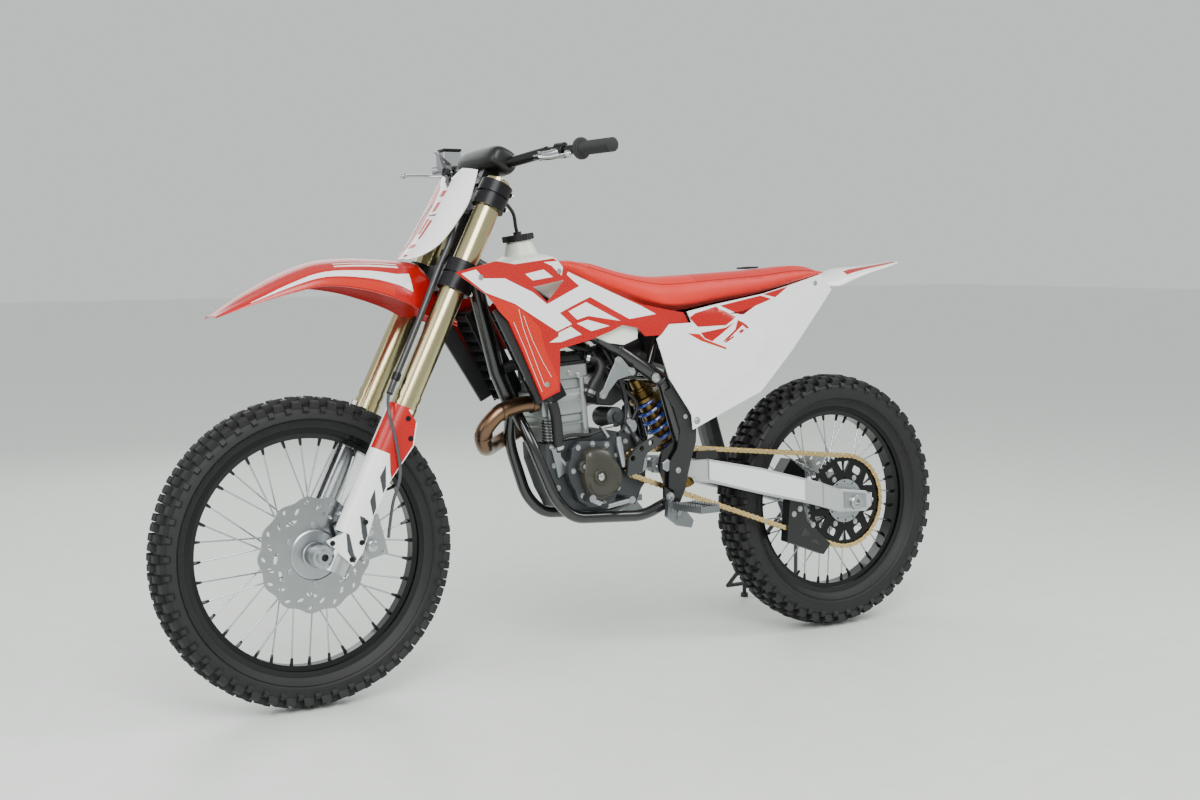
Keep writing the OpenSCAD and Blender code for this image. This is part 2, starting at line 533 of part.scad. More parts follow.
/* ---------- engine ---------- */
module engine_case() color("#3a3c40") place() difference() {
  union() {
    plate([[894, 512 + BS], [896, 556 + BS], [760, 585 + BS], [640, 560 + BS], [612, 530 + BS], [618, 440 + BS],
      [660, 392 + BS], [760, 378 + BS], [842, 392 + BS], [868, 440 + BS]], -61.5, 58);
    disc_y([784, 0, 484 + BS], 66, -70, 84);
    disc_y([700, 0, 450 + BS], 44, -86, 58);
  }
  disc_y([PV[0], 0, PV[2]], 30, -120, 120);
  // Deck under the cylinder.
  translate([835, 0, 558 + BS - touch]) rotate([0, 4, 0]) translate([-66, -70, 0]) cube([140, 140, 60]);
}
module cylinder_block() color("#a7a9ab") place() {
  translate([835, 0, 558 + BS]) rotate([0, 4, 0]) {
    translate([-58, -56, 0]) cube([116, 112, 150]);
    translate([-64, -62, 64]) cube([128, 124, 60]);
  }
  translate([838, 0, 706 + BS]) rotate([0, 4, 0]) translate([-68, -64, 0]) cube([136, 128, 64]);
}
module engine_covers() color("#4a4a4c") place() {
  disc_y([784, 0, 484 + BS], 54, 84 + touch, 112);
  disc_y([784, 0, 484 + BS], 34, 100, 120);
  disc_y([700, 0, 450 + BS], 50, -112, -86 - touch);
  disc_y([790, 0, 470 + BS], 44, -104, -70 - touch);
}
module sprocket_cover() color("#2a2b2d") place() difference() {
  union() {
    plate([[694, 462 + BS], [688, 506 + BS], [660, 534 + BS], [610, 556 + BS], [592, 548 + BS], [596, 534 + BS],
      [640, 512 + BS], [650, 470 + BS]], 88, 98);
    disc_y([690, 0, 470 + BS], 4, 58 + touch, 90);
  }
  for (c = [[676, 505], [650, 528], [622, 540]]) disc_y([c[0], 0, c[1] + BS], 7, 80, 100);
}
module front_sprocket() color("#55585c") place() {
  disc_y([FS[0], 0, FS[2]], front_pitch_r - chain_hh - 1, chain_y - 3.5, chain_y + 3.5);
  disc_y([FS[0], 0, FS[2]], 12, 58 + touch, chain_y + 9);
}
// Header from the cylinder's front, round to the right and back along the engine.
HEADER = [[910, 43, 650], [950, 45, 651], [1010, 44, 634], [1046, 30, 590], [1030, 0, 556], [992, -56, 546],
  [940, -101, 556], [860, -108, 588], [760, -106, 626], [660, -122, 650], [560, -139, 664], [449.3, -145, 678]];
module header_pipe() color("#6f5c48") place() translate([0, 0, BS])
  swept(smooth(HEADER, 3), 20, 12, [0, 0.3, 1]);
SIL_A = [450, -146, 690 + BS];
SIL_B = [70, -150, 812 + BS];
module silencer() color("#8e9194") place() difference() {
  union() {
    rod(SIL_A, SIL_B, 52);
    rod(SIL_B, SIL_B + unit(SIL_B - SIL_A) * 30, 30);
  }
  rod(SIL_B + unit(SIL_A - SIL_B) * 60, SIL_B + unit(SIL_B - SIL_A) * 40, 20);
  // Front face, square to the pipe that meets it.
  translate(SIL_A) rotate([0, 7, 0]) translate([0, -60, -90]) cube([40, 120, 160]);
}
module airbox() color("#1d1e20") place()
  plate([[601.4, 812 + BS], [589.4, 762 + BS], [560, 735 + BS], [470, 705 + BS], [400, 668 + BS], [320, 700 + BS], [200, 846 + BS],
    [300, 864 + BS], [420, 844 + BS]], -30, 30);
module throttle_body() color("#2b2c2f") place() {
  rod([766.6, 0, 741.4 + BS], [680, 0, 762 + BS], 30);
  rod([684, 0, 761 + BS], [595, 0, 782.4 + BS], 26);
}

/* ---------- tank and bodywork ---------- */
// Tank stations: [x, top, underside, lowest edge, half width].
TANK = [[985, 990, 966, 966, 56], [950, 1006, 948, 944, 78], [910, 1010, 922, 912, 96], [866, 1006, 896, 882, 106],
  [850, 980, 884, 858, 109], [800, 952, 854, 815, 113], [741, 922, 820, 790, 114], [700, 898, 794, 784, 114], [660, 884, 798, 798, 112]];
module fuel_tank() color("#e6ebe4") place() translate([0, 0, BS]) {
  loft([for (s = TANK) let(w = s[4], i = min(101, w - 6)) [for (p = [[-i, s[2]], [0, s[2] + 1], [i, s[2]], [i + 2, s[3]],
      [w - 2, s[3]], [w, s[3] + 12], [w, (s[1] + s[3]) / 2 + 6], [w * 0.8, s[1] - 10], [w * 0.4, s[1]], [-w * 0.4, s[1]],
      [-w * 0.8, s[1] - 10], [-w, (s[1] + s[3]) / 2 + 6], [-w, s[3] + 12], [2 - w, s[3]], [-i - 2, s[3]]])
    [s[0], p[0], p[1]]]]);
  translate([912, 0, 990]) rotate([0, 8, 0]) cylinder(h = 52, r1 = 46, r2 = 30);
}
module fuel_cap() color("#151517") place() translate([912, 0, 990 + BS]) rotate([0, 8, 0]) translate([0, 0, 52 + touch]) {
  cylinder(h = 15, r = 37);
  cylinder(h = 22, r = 10);
}
// Radiator core: [top, bottom] of its centre line on each side.
RAD_TOP = [1006 + hd_x, 0, 884 + hd_z];
RAD_LOW = [896, 0, 664 + BS];
rad_out = 141.5;             // outer side of the cores, against the shrouds
module radiators() color("#1f2124") place() both() {
  d = unit(RAD_TOP - RAD_LOW);
  n = [d[2], 0, -d[0]];
  plate([for (c = [RAD_TOP + 18 * n, RAD_TOP - 18 * n, RAD_LOW - 18 * n, RAD_LOW + 18 * n]) [c[0], c[2]]], 64.6, rad_out);
}
// Plan line of the shrouds' outer face.
shroud_t = 4;
SHROUD_PLAN = [[500, 120], [620, 121], [700, 124], [850, 136], [1000, 166], [1100, 190], [1230, 211]];
SHROUD = [[1184 + hd_x, 960 + hd_z], [1075 + hd_x, 985 + hd_z], [1020 + hd_x, 978 + hd_z], [905, 992 + BS], [872, 968 + BS],
  [742, 914 + BS], [648, 880 + BS], [566, 864 + BS], [530, 858 + BS], [512, 826 + BS], [578, 824 + BS], [592, 804 + BS],
  [646, 803 + BS], [668, 824 + BS], [712, 832 + BS], [746, 818 + BS], [802, 800 + BS], [896, 780 + BS], [900, 682 + BS],
  [952, 664 + BS], [1006, 777 + BS], [1050 + hd_x, 859 + hd_z], [1105 + hd_x, 909 + hd_z]];
module radiator_louvres() color("#151618") place() both() intersection() {
  plate([[1084 + hd_x, 872 + hd_z], [1050 + hd_x, 886 + hd_z], [930, 672 + BS], [962, 654 + BS]], 100, 230);
  plan_band([for (p = SHROUD_PLAN) [p[0], p[1] - shroud_t - touch]], 8, 600, 1100);
}
module shrouds() color("#d8201c") place() both() difference() {
  intersection() {
    plate(SHROUD, 100, 230);
    plan_band(SHROUD_PLAN, shroud_t, 600, 1100);
  }
  plate([[970, 926 + BS], [874, 943 + BS], [928, 890 + BS]], 100, 230);
}
PANEL_PLAN = [[20, 93], [80, 103], [190, 118], [290, 127], [430, 128], [540, 124.4], [640, 125.2]];
PANEL_TOP = [[524, 860 + BS], [431, 877 + BS], [287, 900 + BS], [190, 922 + BS], [81, 948 + BS], [42, 907 + BS]];
PANEL_FRONT = [[580, 696 + BS], [614, 795 + BS], [600, 806 + BS], [578, 830 + BS], [512, 832 + BS]];
module side_panel_shell(outline) intersection() {
  plate(outline, 80, 135);
  plan_band(PANEL_PLAN, 3.5, 500, 1000);
}
// The right panel is cut away over the silencer.
module side_panels() color("#f3f4f1") place() {
  side_panel_shell(concat([[515, 567 + BS], [517, 605 + BS]], PANEL_FRONT, PANEL_TOP,
    [[196, 751 + BS], [305, 651 + BS], [401, 614 + BS]]));
  difference() {
    mirror([0, 1, 0]) side_panel_shell(concat([[548, 640 + BS]], PANEL_FRONT, PANEL_TOP, [[110, 880 + BS], [480, 765 + BS]]));
    rod(SIL_A + unit(SIL_A - SIL_B) * 170, SIL_B, 60);
  }
}
// Seat stations: [x, underside, top, half width].
SEAT = [[846, 988, 998, 44], [794, 960, 997, 70], [752, 932, 986, 90], [690, 905, 966, 104], [627, 882, 953, 111],
  [571, 868, 948, 112], [500, 868, 950, 110], [415, 881, 954, 103], [259, 904, 962, 88], [121, 934, 972, 70], [48, 951, 966, 54],
  [8, 958, 963, 38]];
module seat() color("#e2321f") place() translate([0, 0, BS])
  loft([for (s = SEAT) let(w = s[3], h = s[2] - s[1]) [for (p = [[6 - w, 0], [0, 0], [w - 6, 0], [w, h * 0.15],
      [w * 0.9, h * 0.55], [w * 0.6, h * 0.9], [0, h], [-w * 0.6, h * 0.9], [-w * 0.9, h * 0.55], [-w, h * 0.15]])
    [s[0], p[0], s[1] + p[1]]]]);
// Rear fender stations: [x, crown, half width, drop].
TAIL = [[-250, 984, 30, 4], [-190, 978, 42, 12], [-121, 972, 56, 20], [-50, 967, 70, 34], [0, 955, 78, 36], [60, 947.6, 72, 30],
  [140, 926, 60, 20]];
module rear_fender() color("#f3f4f1") place() translate([0, 0, BS])
  sheet([for (s = TAIL) [for (k = [-4:4]) [s[0], s[2] * sin(22.5 * k), s[1] - s[3] * (1 - cos(22.5 * k))]]], [0, 0, -3.5]);
module mud_flap() color("#151617") place() translate([0, 0, BS])
  sheet([for (s = [[404, 655, 36], [398, 600, 46], [384, 540, 50], [366.4, 480, 50], [365.2, 450, 46]])
    [for (k = [-2:2]) [s[0] - 2 * k * k, s[2] * k / 2, s[1]]]], [4, 0, 0]);

/* ---------- rear suspension ---------- */
SHOCK_TOP = [606, 0, 700 + BS];
SHOCK_LOW = [452, 0, 424 + BS];
shock_u = unit(SHOCK_TOP - SHOCK_LOW);
module shock() color("#6b5a3a") place() difference() {
  union() {
    rod(SHOCK_LOW + shock_u * 14, SHOCK_TOP - shock_u * 60, 8);
    rod(SHOCK_LOW + shock_u * 110, SHOCK_TOP - shock_u * 30, 24);
    rod(SHOCK_TOP - shock_u * 62, SHOCK_TOP - shock_u * 54, 38);
    rod(SHOCK_LOW + shock_u * 88, SHOCK_LOW + shock_u * 96, 36);
    rod(SHOCK_TOP - shock_u * 40, SHOCK_TOP - shock_u * 6, 18);
    rod(SHOCK_LOW - shock_u * 10, SHOCK_LOW + shock_u * 20, 14);
  }
  disc_y([SHOCK_TOP[0], 0, SHOCK_TOP[2]], 9 + touch, -40, 40);
}
spring_turns = 6;
spring_r = 32;
wire_r = 4.5;
module shock_spring() color("#1c3f9e") place() {
  a = SHOCK_LOW + shock_u * (96 + wire_r + touch);
  b = SHOCK_TOP - shock_u * (62 + wire_r + touch);
  e = [0, 1, 0];
  f = cross(shock_u, e);
  swept([for (i = [0:spring_turns * 14]) let(t = i / (spring_turns * 14), w = 360 * spring_turns * t)
    a + (b - a) * t + spring_r * (cos(w) * e + sin(w) * f)], wire_r, 6, shock_u);
}
// Arm sections: [x, underside, top, inner y, outer y].
ARM = [[600, 462, 500, 56, 70], [560, 458, 498, 56, 78], [505, 447, 492, 58, 84], [449, 430, 487, 62, 92], [360, 404, 468, 64, 98],
  [287, 384, 452, 66, 104], [200, 362, 428, 74, 112], [150, 350, 414, 86, 114], [110, 338, 402, arm_rear_in, arm_rear_out],
  [47, 318, 380, arm_rear_in, arm_rear_out], [-40, 314, 368, arm_rear_in, arm_rear_out], [-58, 322, 360, arm_rear_in + 3, arm_rear_out - 3]];
module swingarm() color("#d9dcde") place() difference() {
  union() {
    both() translate([0, 0, BS]) loft([for (s = ARM) let(c = 5) [for (p = [[s[3] + c, s[1]], [s[4] - c, s[1]], [s[4], s[1] + c],
        [s[4], s[2] - c], [s[4] - c, s[2]], [s[3] + c, s[2]], [s[3], s[2] - c], [s[3], s[1] + c]]) [s[0], p[0], p[1]]]]);
    disc_y([PV[0], 0, PV[2]], 19, -72, -40);
    disc_y([PV[0], 0, PV[2]], 19, 40, 72);
    // Bridge ahead of the tyre.
    plate([[372, 412 + BS], [424, 428 + BS], [420, 478 + BS], [370, 462 + BS]], -70, 70);
  }
  disc_y([0, 0, RA[2]], rear_axle_r + seat_gap, -arm_rear_out - 1, arm_rear_out + 1);
  disc_y([PV[0], 0, PV[2]], 9, -120, 120);
}

/* ---------- drive ---------- */
module chain_outline(d) hull() {
  translate([FS[0], FS[2]]) circle(r = front_pitch_r + d, $fn = 48);
  translate([RA[0], RA[2]]) circle(r = rear_pitch_r + d, $fn = 120);
  translate(slider_top) circle(r = 1 + chain_hh + d, $fn = 24);
}
module chain() color("#c8a24a") place() translate([0, chain_y + chain_hw, 0]) rotate([90, 0, 0])
  linear_extrude(2 * chain_hw) difference() {
    chain_outline(chain_hh);
    chain_outline(-chain_hh);
  }
// Slider block over the swingarm and guide loop under it.
module chain_guides() color("#151618") place() difference() {
  s = slider_top;
  union() {
    plate([[s[0] + 30, 490.6 + BS], [s[0] + 26, s[1] + 4], [s[0] - 34, s[1] + 2], [s[0] - 34, 485.2 + BS]],
      chain_y - 14, chain_y + 14);
    plate([[192, 360 + BS], [150, 349.4 + BS], [136, 300 + BS], [60, 232 + BS], [84, 206 + BS], [204, 252 + BS]],
      chain_y - 14, chain_y + 14);
  }
  translate([0, chain_y + chain_hw + touch, 0]) rotate([90, 0, 0]) linear_extrude(2 * (chain_hw + touch)) difference() {
    chain_outline(chain_hh + touch);
    chain_outline(-chain_hh - touch);
  }
}

/* ---------- controls, rear brake ---------- */
module footpegs() color("#a9adb0") place() both() {
  plate([[590, 392 + BS], [556, 388 + BS], [516, 340 + BS], [524, 322 + BS], [560, 330 + BS], [594, 356 + BS]],
    103 + touch, 118);
  difference() {
    translate([522, 112, 372 + BS]) cube([54, 128, 16]);
    for (x = [532, 552]) translate([x, 126, 370 + BS]) cube([14, 106, 20]);
  }
  rod([560, 112, 350 + BS], [556, 122, 376 + BS], 7);
}
module foot_controls() color("#b4b7ba") place() {
  disc_y([700, 0, 408 + BS], 9, 58 + touch, 128);
  bent_rod([[700, 122, 408 + BS], [770, 124, 398 + BS], [828, 132, 424 + BS]], 6);
  disc_y([828, 0, 424 + BS], 9, 124, 158);
  disc_y([618, 0, 368 + BS], 9, -134, -94.2);
  bent_rod([[618, -128, 368 + BS], [700, -130, 350 + BS], [800, -134, 384 + BS]], 6);
  disc_y([800, 0, 384 + BS], 11, -160, -124);
}
module rear_caliper() color("#3a3b3e") place() translate(RA) rotate([0, -38, 0]) difference() {
  union() {
    translate([70, -rear_disc_y - 20, -34]) cube([70, 46, 68]);
    translate([30, touch - arm_rear_in, -12]) cube([50, arm_rear_in - touch - 74, 24]);
  }
  disc_y([0, 0, 0], rear_disc_r + caliper_gap, -rear_disc_y - disc_t / 2 - caliper_gap, -rear_disc_y + disc_t / 2 + caliper_gap);
  disc_y([0, 0, 0], 32, -120, 0);
}

/* ---------- stand ---------- */
// The base rod is level with the floor; its ends rise to the rear axle's right end.
function to_bike(p) = [p[0], p[1] * cos(lean_deg) + p[2] * sin(lean_deg), p[2] * cos(lean_deg) - p[1] * sin(lean_deg)];
stand_x = 72;
BASE_F = to_bike([stand_x, -stand_reach, stand_h - cz]);
BASE_R = to_bike([stand_x - stand_base, -stand_reach, stand_h - cz]);
STAND_TIP = [0, -arm_rear_out - 14, RA[2]];
module triangle_stand() color("#101113") place() {
  rod(STAND_TIP, BASE_F, stand_rod_r);
  rod(STAND_TIP, BASE_R, stand_rod_r);
  rod(BASE_F, BASE_R, stand_rod_r);
  for (p = [STAND_TIP, BASE_F, BASE_R]) translate(p) sphere(r = stand_rod_r * 1.01);
  disc_y([0, 0, RA[2]], axle_bore_r - 0.1, -arm_rear_out - 16, 16 - arm_rear_out);
  disc_y([0, 0, RA[2]], 14, -arm_rear_out - 16, -arm_rear_out - 9 - touch);
  upright() for (x = [stand_x - 60, stand_x - stand_base + 60]) translate([x, -stand_reach, -cz]) {
    cylinder(h = stand_h, r = 6);
    cylinder(h = 12, r = 11);
  }
}

frame_spars();
frame_cradle();
subframe();
engine_case();
cylinder_block();  // cylinder
engine_covers();
sprocket_cover();
header_pipe();
silencer();
airbox();
throttle_body();
fuel_tank();
fuel_cap();
radiators();
radiator_louvres();
shrouds();
side_panels();
seat();
rear_fender();
mud_flap();
shock();
shock_spring();
swingarm();
chain_guides();
chain();
front_sprocket();
frame_guards();
footpegs();
foot_controls();
rear_caliper();
triangle_stand();
rear_axle();
triple_clamps();
fork_tubes();
fork_legs();
fork_guards();
front_fender();
number_plate();
handlebar();
bar_pad();
grips();
hand_controls();
front_caliper();
brake_hose();
front_axle();
front_tyre();
front_rim();
front_spokes();
front_hub();
front_disc();
rear_tyre();
rear_rim();
rear_spokes();
rear_hub();
rear_sprocket();
rear_disc();
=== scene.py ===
import math
import bmesh
import bpy
from mathutils import Matrix, Vector


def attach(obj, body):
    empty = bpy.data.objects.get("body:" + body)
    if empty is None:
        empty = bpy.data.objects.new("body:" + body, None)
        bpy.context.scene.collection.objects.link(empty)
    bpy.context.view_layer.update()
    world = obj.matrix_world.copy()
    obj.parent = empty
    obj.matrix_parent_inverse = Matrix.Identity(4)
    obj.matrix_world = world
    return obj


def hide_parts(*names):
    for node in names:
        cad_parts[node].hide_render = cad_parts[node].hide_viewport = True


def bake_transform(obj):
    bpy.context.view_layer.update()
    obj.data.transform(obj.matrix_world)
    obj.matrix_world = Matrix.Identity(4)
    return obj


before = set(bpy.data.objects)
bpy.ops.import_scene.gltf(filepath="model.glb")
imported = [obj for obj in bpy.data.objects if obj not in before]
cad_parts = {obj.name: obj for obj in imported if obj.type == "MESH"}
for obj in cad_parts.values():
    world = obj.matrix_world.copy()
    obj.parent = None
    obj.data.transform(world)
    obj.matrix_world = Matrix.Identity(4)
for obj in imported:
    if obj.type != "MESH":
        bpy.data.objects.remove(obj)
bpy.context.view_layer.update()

# The room: a plain pale floor, a big soft light over the left side, a weaker one in front and a
# strip behind that draws the highlights along the plastic. The camera stands at the left front,
# a little above the wheels.
FLOOR_COLOUR = "EFF4EE"


def srgb(code, alpha=1.0):
    """An sRGB hex colour as the linear colour that shaders take."""
    values = [int(code[i:i + 2], 16) / 255 for i in (0, 2, 4)]
    return [v / 12.92 if v <= 0.04045 else ((v + 0.055) / 1.055) ** 2.4 for v in values] + [alpha]


def node(mat, kind, inputs=(), **settings):
    """Adds one node, with its settings and its inputs: values or another node's output."""
    made = mat.node_tree.nodes.new(kind)
    for key, value in settings.items():
        setattr(made, key, value)
    for key, value in dict(inputs).items():
        if isinstance(value, bpy.types.NodeSocket):
            mat.node_tree.links.new(value, made.inputs[key])
        else:
            made.inputs[key].default_value = value
    return made


def finish(name, colour, rough, metallic=0.0, tint=None, grain=2.0, relief=0.0, stretch=(1, 1, 1),
           vary=0.05, coat=0.0, sheen=0.0, glow=0.0):
    """A finish whose colour drifts from colour to tint, and whose relief has grains of a size in mm."""
    mat = bpy.data.materials.new(name)
    mat.use_nodes = True
    mat.node_tree.nodes.clear()
    place = node(mat, "ShaderNodeTexCoord")
    sized = node(mat, "ShaderNodeMapping", {"Vector": place.outputs["Object"],
                                            "Scale": [s * 1000 / grain for s in stretch]})
    speck = node(mat, "ShaderNodeTexNoise", {"Vector": sized.outputs["Vector"], "Scale": 1.0, "Detail": 4.0,
                                             "Roughness": 0.6})
    drift = node(mat, "ShaderNodeTexNoise", {"Vector": place.outputs["Object"], "Scale": 14.0, "Detail": 3.0})
    shade = node(mat, "ShaderNodeMix", {"Factor": drift.outputs["Fac"], 6: srgb(colour),
                                        7: srgb(tint or colour)},
                 data_type="RGBA")
    gloss = node(mat, "ShaderNodeMapRange", {"Value": speck.outputs["Fac"], "To Min": max(0.02, rough - vary),
                                             "To Max": min(1.0, rough + vary)})
    bump = node(mat, "ShaderNodeBump", {"Height": speck.outputs["Fac"], "Strength": 1.0 if relief else 0.0,
                                        "Distance": relief / 1000})
    skin = node(mat, "ShaderNodeBsdfPrincipled", {
        "Base Color": shade.outputs[2], "Roughness": gloss.outputs["Result"], "Metallic": metallic,
        "Coat Weight": coat, "Coat Roughness": 0.06, "Sheen Weight": sheen, "Normal": bump.outputs["Normal"],
        "Subsurface Weight": glow, "Subsurface Radius": [0.02, 0.02, 0.016], "Subsurface Scale": 0.4})
    node(mat, "ShaderNodeOutputMaterial", {"Surface": skin.outputs["BSDF"]})
    return mat


# Sealed concrete: flat, pale and slightly glossy.
floor_paint = finish("sealed_floor", FLOOR_COLOUR, 0.42, tint="E4E9E3", grain=40, vary=0.06)
bpy.ops.mesh.primitive_plane_add(size=60, location=(0, 0, 0))
floor = bpy.context.object
floor.name = "floor"
floor.data.materials.append(floor_paint)

world = bpy.data.worlds.new("studio_air")
world.use_nodes = True
world.node_tree.nodes["Background"].inputs["Color"].default_value = srgb("E9EEEC")
world.node_tree.nodes["Background"].inputs["Strength"].default_value = 0.9
bpy.context.scene.world = world

for label, spot, size, power, target in (
        ("key", (1.6, 3.2, 3.4), 2.4, 175, (0.1, 0, 0.5)),
        ("front_fill", (4.2, 0.6, 2.2), 2.4, 70, (0.4, 0, 0.5)),
        ("back_strip", (-2.6, 1.6, 2.8), 1.6, 50, (-0.4, 0, 0.7)),
        ("far_side", (-0.2, -3.4, 2.6), 2.4, 45, (0, 0, 0.5))):
    lamp = bpy.data.lights.new(label, "AREA")
    lamp.size = size
    lamp.energy = power
    light = bpy.data.objects.new(label, lamp)
    bpy.context.collection.objects.link(light)
    light.location = spot
    light.rotation_euler = (Vector(target) - Vector(spot)).to_track_quat("-Z", "Y").to_euler()

lens = bpy.data.cameras.new("camera")
lens.lens = 45.8
lens.sensor_width = 36
camera = bpy.data.objects.new("camera", lens)
bpy.context.collection.objects.link(camera)
camera.location = (1.886, 3.281, 1.017)
CAMERA_HEADING, CAMERA_PITCH, CAMERA_ROLL = -120.67, -5.59, -0.25
look = Vector((math.cos(math.radians(CAMERA_HEADING)), math.sin(math.radians(CAMERA_HEADING)),
               math.tan(math.radians(CAMERA_PITCH))))
camera.rotation_euler = (look.to_track_quat("-Z", "Y").to_matrix()
                         @ Matrix.Rotation(math.radians(CAMERA_ROLL), 3, "Z")).to_euler()
bpy.context.scene.camera = camera

# ---------------------------------------------------------------------------------------------
# Wheels: aluminium rims with laced steel spokes, alloy hubs and off-road tyres with moulded
# rubber blocks. The tyres are pressed on the rims, the spokes screwed into nipples, and the
# brake discs and the sprocket bolted to the hubs.
LEAN = math.radians(3.24)
SHIFT = Vector((-747, 69.313, 0.791))
RAKE = math.radians(27)
REAR_AXLE = Vector((0, 0, 341))
FRONT_AXLE = Vector((1485, 0, 350))
LEANED = Matrix.Rotation(LEAN, 3, "X")


def at(p):
    """A point of the upright bike, in mm, as a point of the leaning one, in metres."""
    return (LEANED @ Vector(p) + SHIFT) / 1000


def fork(p):
    """A point in the fork's own axes, with z up along the tubes, as a point of the upright bike."""
    x, y, z = p
    return (1485 + x * math.cos(RAKE) - z * math.sin(RAKE), y, 350 + x * math.sin(RAKE) + z * math.cos(RAKE))


def unit(v):
    return Vector(v).normalized()


def piece(name, verts, faces, mat, body, smooth=True, bevel=0.0, subdivide=0, stands_for=(), slot=None,
          sharp=35):
    """One mesh piece, from points of the upright bike in mm, that rides on a CAD body."""
    mesh = bpy.data.meshes.new(name)
    mesh.from_pydata([at(v) for v in verts], [], faces)
    mesh.validate()
    work = bmesh.new()
    work.from_mesh(mesh)
    bmesh.ops.recalc_face_normals(work, faces=work.faces)
    work.to_mesh(mesh)
    work.free()
    made = bpy.data.objects.new(name, mesh)
    bpy.context.collection.objects.link(made)
    mesh.materials.append(mat)
    if bevel:
        edge = made.modifiers.new("edge", "BEVEL")
        edge.width = bevel / 1000
        edge.segments = 2
        edge.limit_method = "ANGLE"
        edge.harden_normals = True
    if subdivide:
        made.modifiers.new("smooth", "SUBSURF").levels = subdivide
        made.modifiers["smooth"].render_levels = subdivide
    if smooth:
        mesh.shade_smooth()
        mesh.set_sharp_from_angle(angle=math.radians(sharp)) if not subdivide else None
    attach(made, body)
    if stands_for:
        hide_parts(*stands_for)
    return made


def thicken(work, outward, inward):
    """Gives a one-sided sheet a closed thickness, along its own normals, in metres."""
    work.normal_update()
    rim = [(e, e.link_loops[0].vert, e.link_loops[0].link_loop_next.vert) for e in work.edges if e.is_boundary]
    faces = work.faces[:]
    twin = {v: work.verts.new(v.co - v.normal * inward) for v in work.verts[:]}
    for v in list(twin):
        v.co += v.normal * outward
    for f in faces:
        work.faces.new([twin[v] for v in reversed(f.verts)])
    for e, a, b in rim:
        work.faces.new([b, a, twin[a], twin[b]])


class Shape:
    """Collects the points and faces of like solids that make one piece."""

    def __init__(self):
        self.verts, self.faces = [], []

    def add(self, verts, faces):
        base = len(self.verts)
        self.verts += [tuple(v) for v in verts]
        self.faces += [[base + i for i in f] for f in faces]
        return self

    def rings(self, rings, closed=True, caps=True):
        n = len(rings[0])
        faces = []
        for i in range(len(rings) - 1):
            for j in range(n if closed else n - 1):
                a, b = i * n + j, i * n + (j + 1) % n
                faces.append([a, b, b + n, a + n])
        if caps:
            faces += [list(range(n))[::-1], [(len(rings) - 1) * n + j for j in range(n)]]
        return self.add([p for r in rings for p in r], faces)

    def tube(self, path, radius, sides=12, caps=True, ref=(0.13, 0.2, 0.97)):
        path = [Vector(p) for p in path]
        radii = radius if isinstance(radius, (list, tuple)) else [radius] * len(path)
        rings = []
        for i, p in enumerate(path):
            t = (path[min(i + 1, len(path) - 1)] - path[max(i - 1, 0)]).normalized()
            u = Vector(ref).cross(t).normalized()
            w = t.cross(u)
            rings.append([p + radii[i] * (math.cos(a) * u + math.sin(a) * w)
                          for a in (2 * math.pi * j / sides for j in range(sides))])
        return self.rings(rings, caps=caps)

    def rod(self, a, b, radius, sides=16, top=None):
        return self.tube([a, b], [radius, radius if top is None else top], sides)

    def bolt(self, place, axis, radius=4.5, height=4, sides=6, washer=0):
        p, d = Vector(place), unit(axis)
        ref = (0.3, 0.1, 0.9) if abs(d.z) < 0.8 else (1, 0.1, 0)
        if washer:
            self.tube([p, p + d * 1.2], washer, 20, ref=ref)
        self.tube([p, p + d * (height - 0.8), p + d * height], [radius, radius, radius * 0.84], sides,
                  ref=ref)
        return self

    def turned(self, centre, profile, steps=96, y_sign=1, closed=True):
        c = Vector(centre)
        rings = [[c + Vector((r * math.cos(a), y_sign * y, r * math.sin(a))) for r, y in profile]
                 for a in (2 * math.pi * k / steps for k in range(steps))]
        n, faces = len(profile), []
        for i in range(steps):
            for j in range(n if closed else n - 1):
                a, b = i * n + j, i * n + (j + 1) % n
                c2, d2 = ((i + 1) % steps) * n + (j + 1) % n, ((i + 1) % steps) * n + j
                faces.append([a, b, c2, d2])
        return self.add([p for r in rings for p in r], faces)

    def slab(self, outline, y0, y1):
        """A flat outline of [x, z] points made thick between y0 and y1."""
        n = len(outline)
        verts = [(x, y0, z) for x, z in outline] + [(x, y1, z) for x, z in outline]
        faces = [list(range(n)), list(range(2 * n - 1, n - 1, -1))]
        faces += [[j, (j + 1) % n, (j + 1) % n + n, j + n] for j in range(n)]
        return self.add(verts, faces)

    def made(self, name, mat, body, **options):
        return piece(name, self.verts, self.faces, mat, body, **options)


def paint_node(name, mat, bevel=0.0, smooth=True):
    """Gives a CAD node its finish, and rounds its edges a little."""
    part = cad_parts[name]
    part.data.materials.clear()
    part.data.materials.append(mat)
    if smooth:
        part.data.shade_smooth()
        part.data.set_sharp_from_angle(angle=math.radians(32))
    if bevel:
        edge = part.modifiers.new("edge", "BEVEL")
        edge.width = bevel / 1000
        edge.segments = 2
        edge.limit_method = "ANGLE"
        edge.angle_limit = math.radians(40)
        edge.harden_normals = True
    return part


# Vulcanised natural rubber: deep black, dull, with a fine skin from the mould and some dust.
tyre_rubber = finish("vulcanised_rubber", "0C0C0D", 0.6, tint="161617", grain=1.2, relief=0.12, vary=0.12)


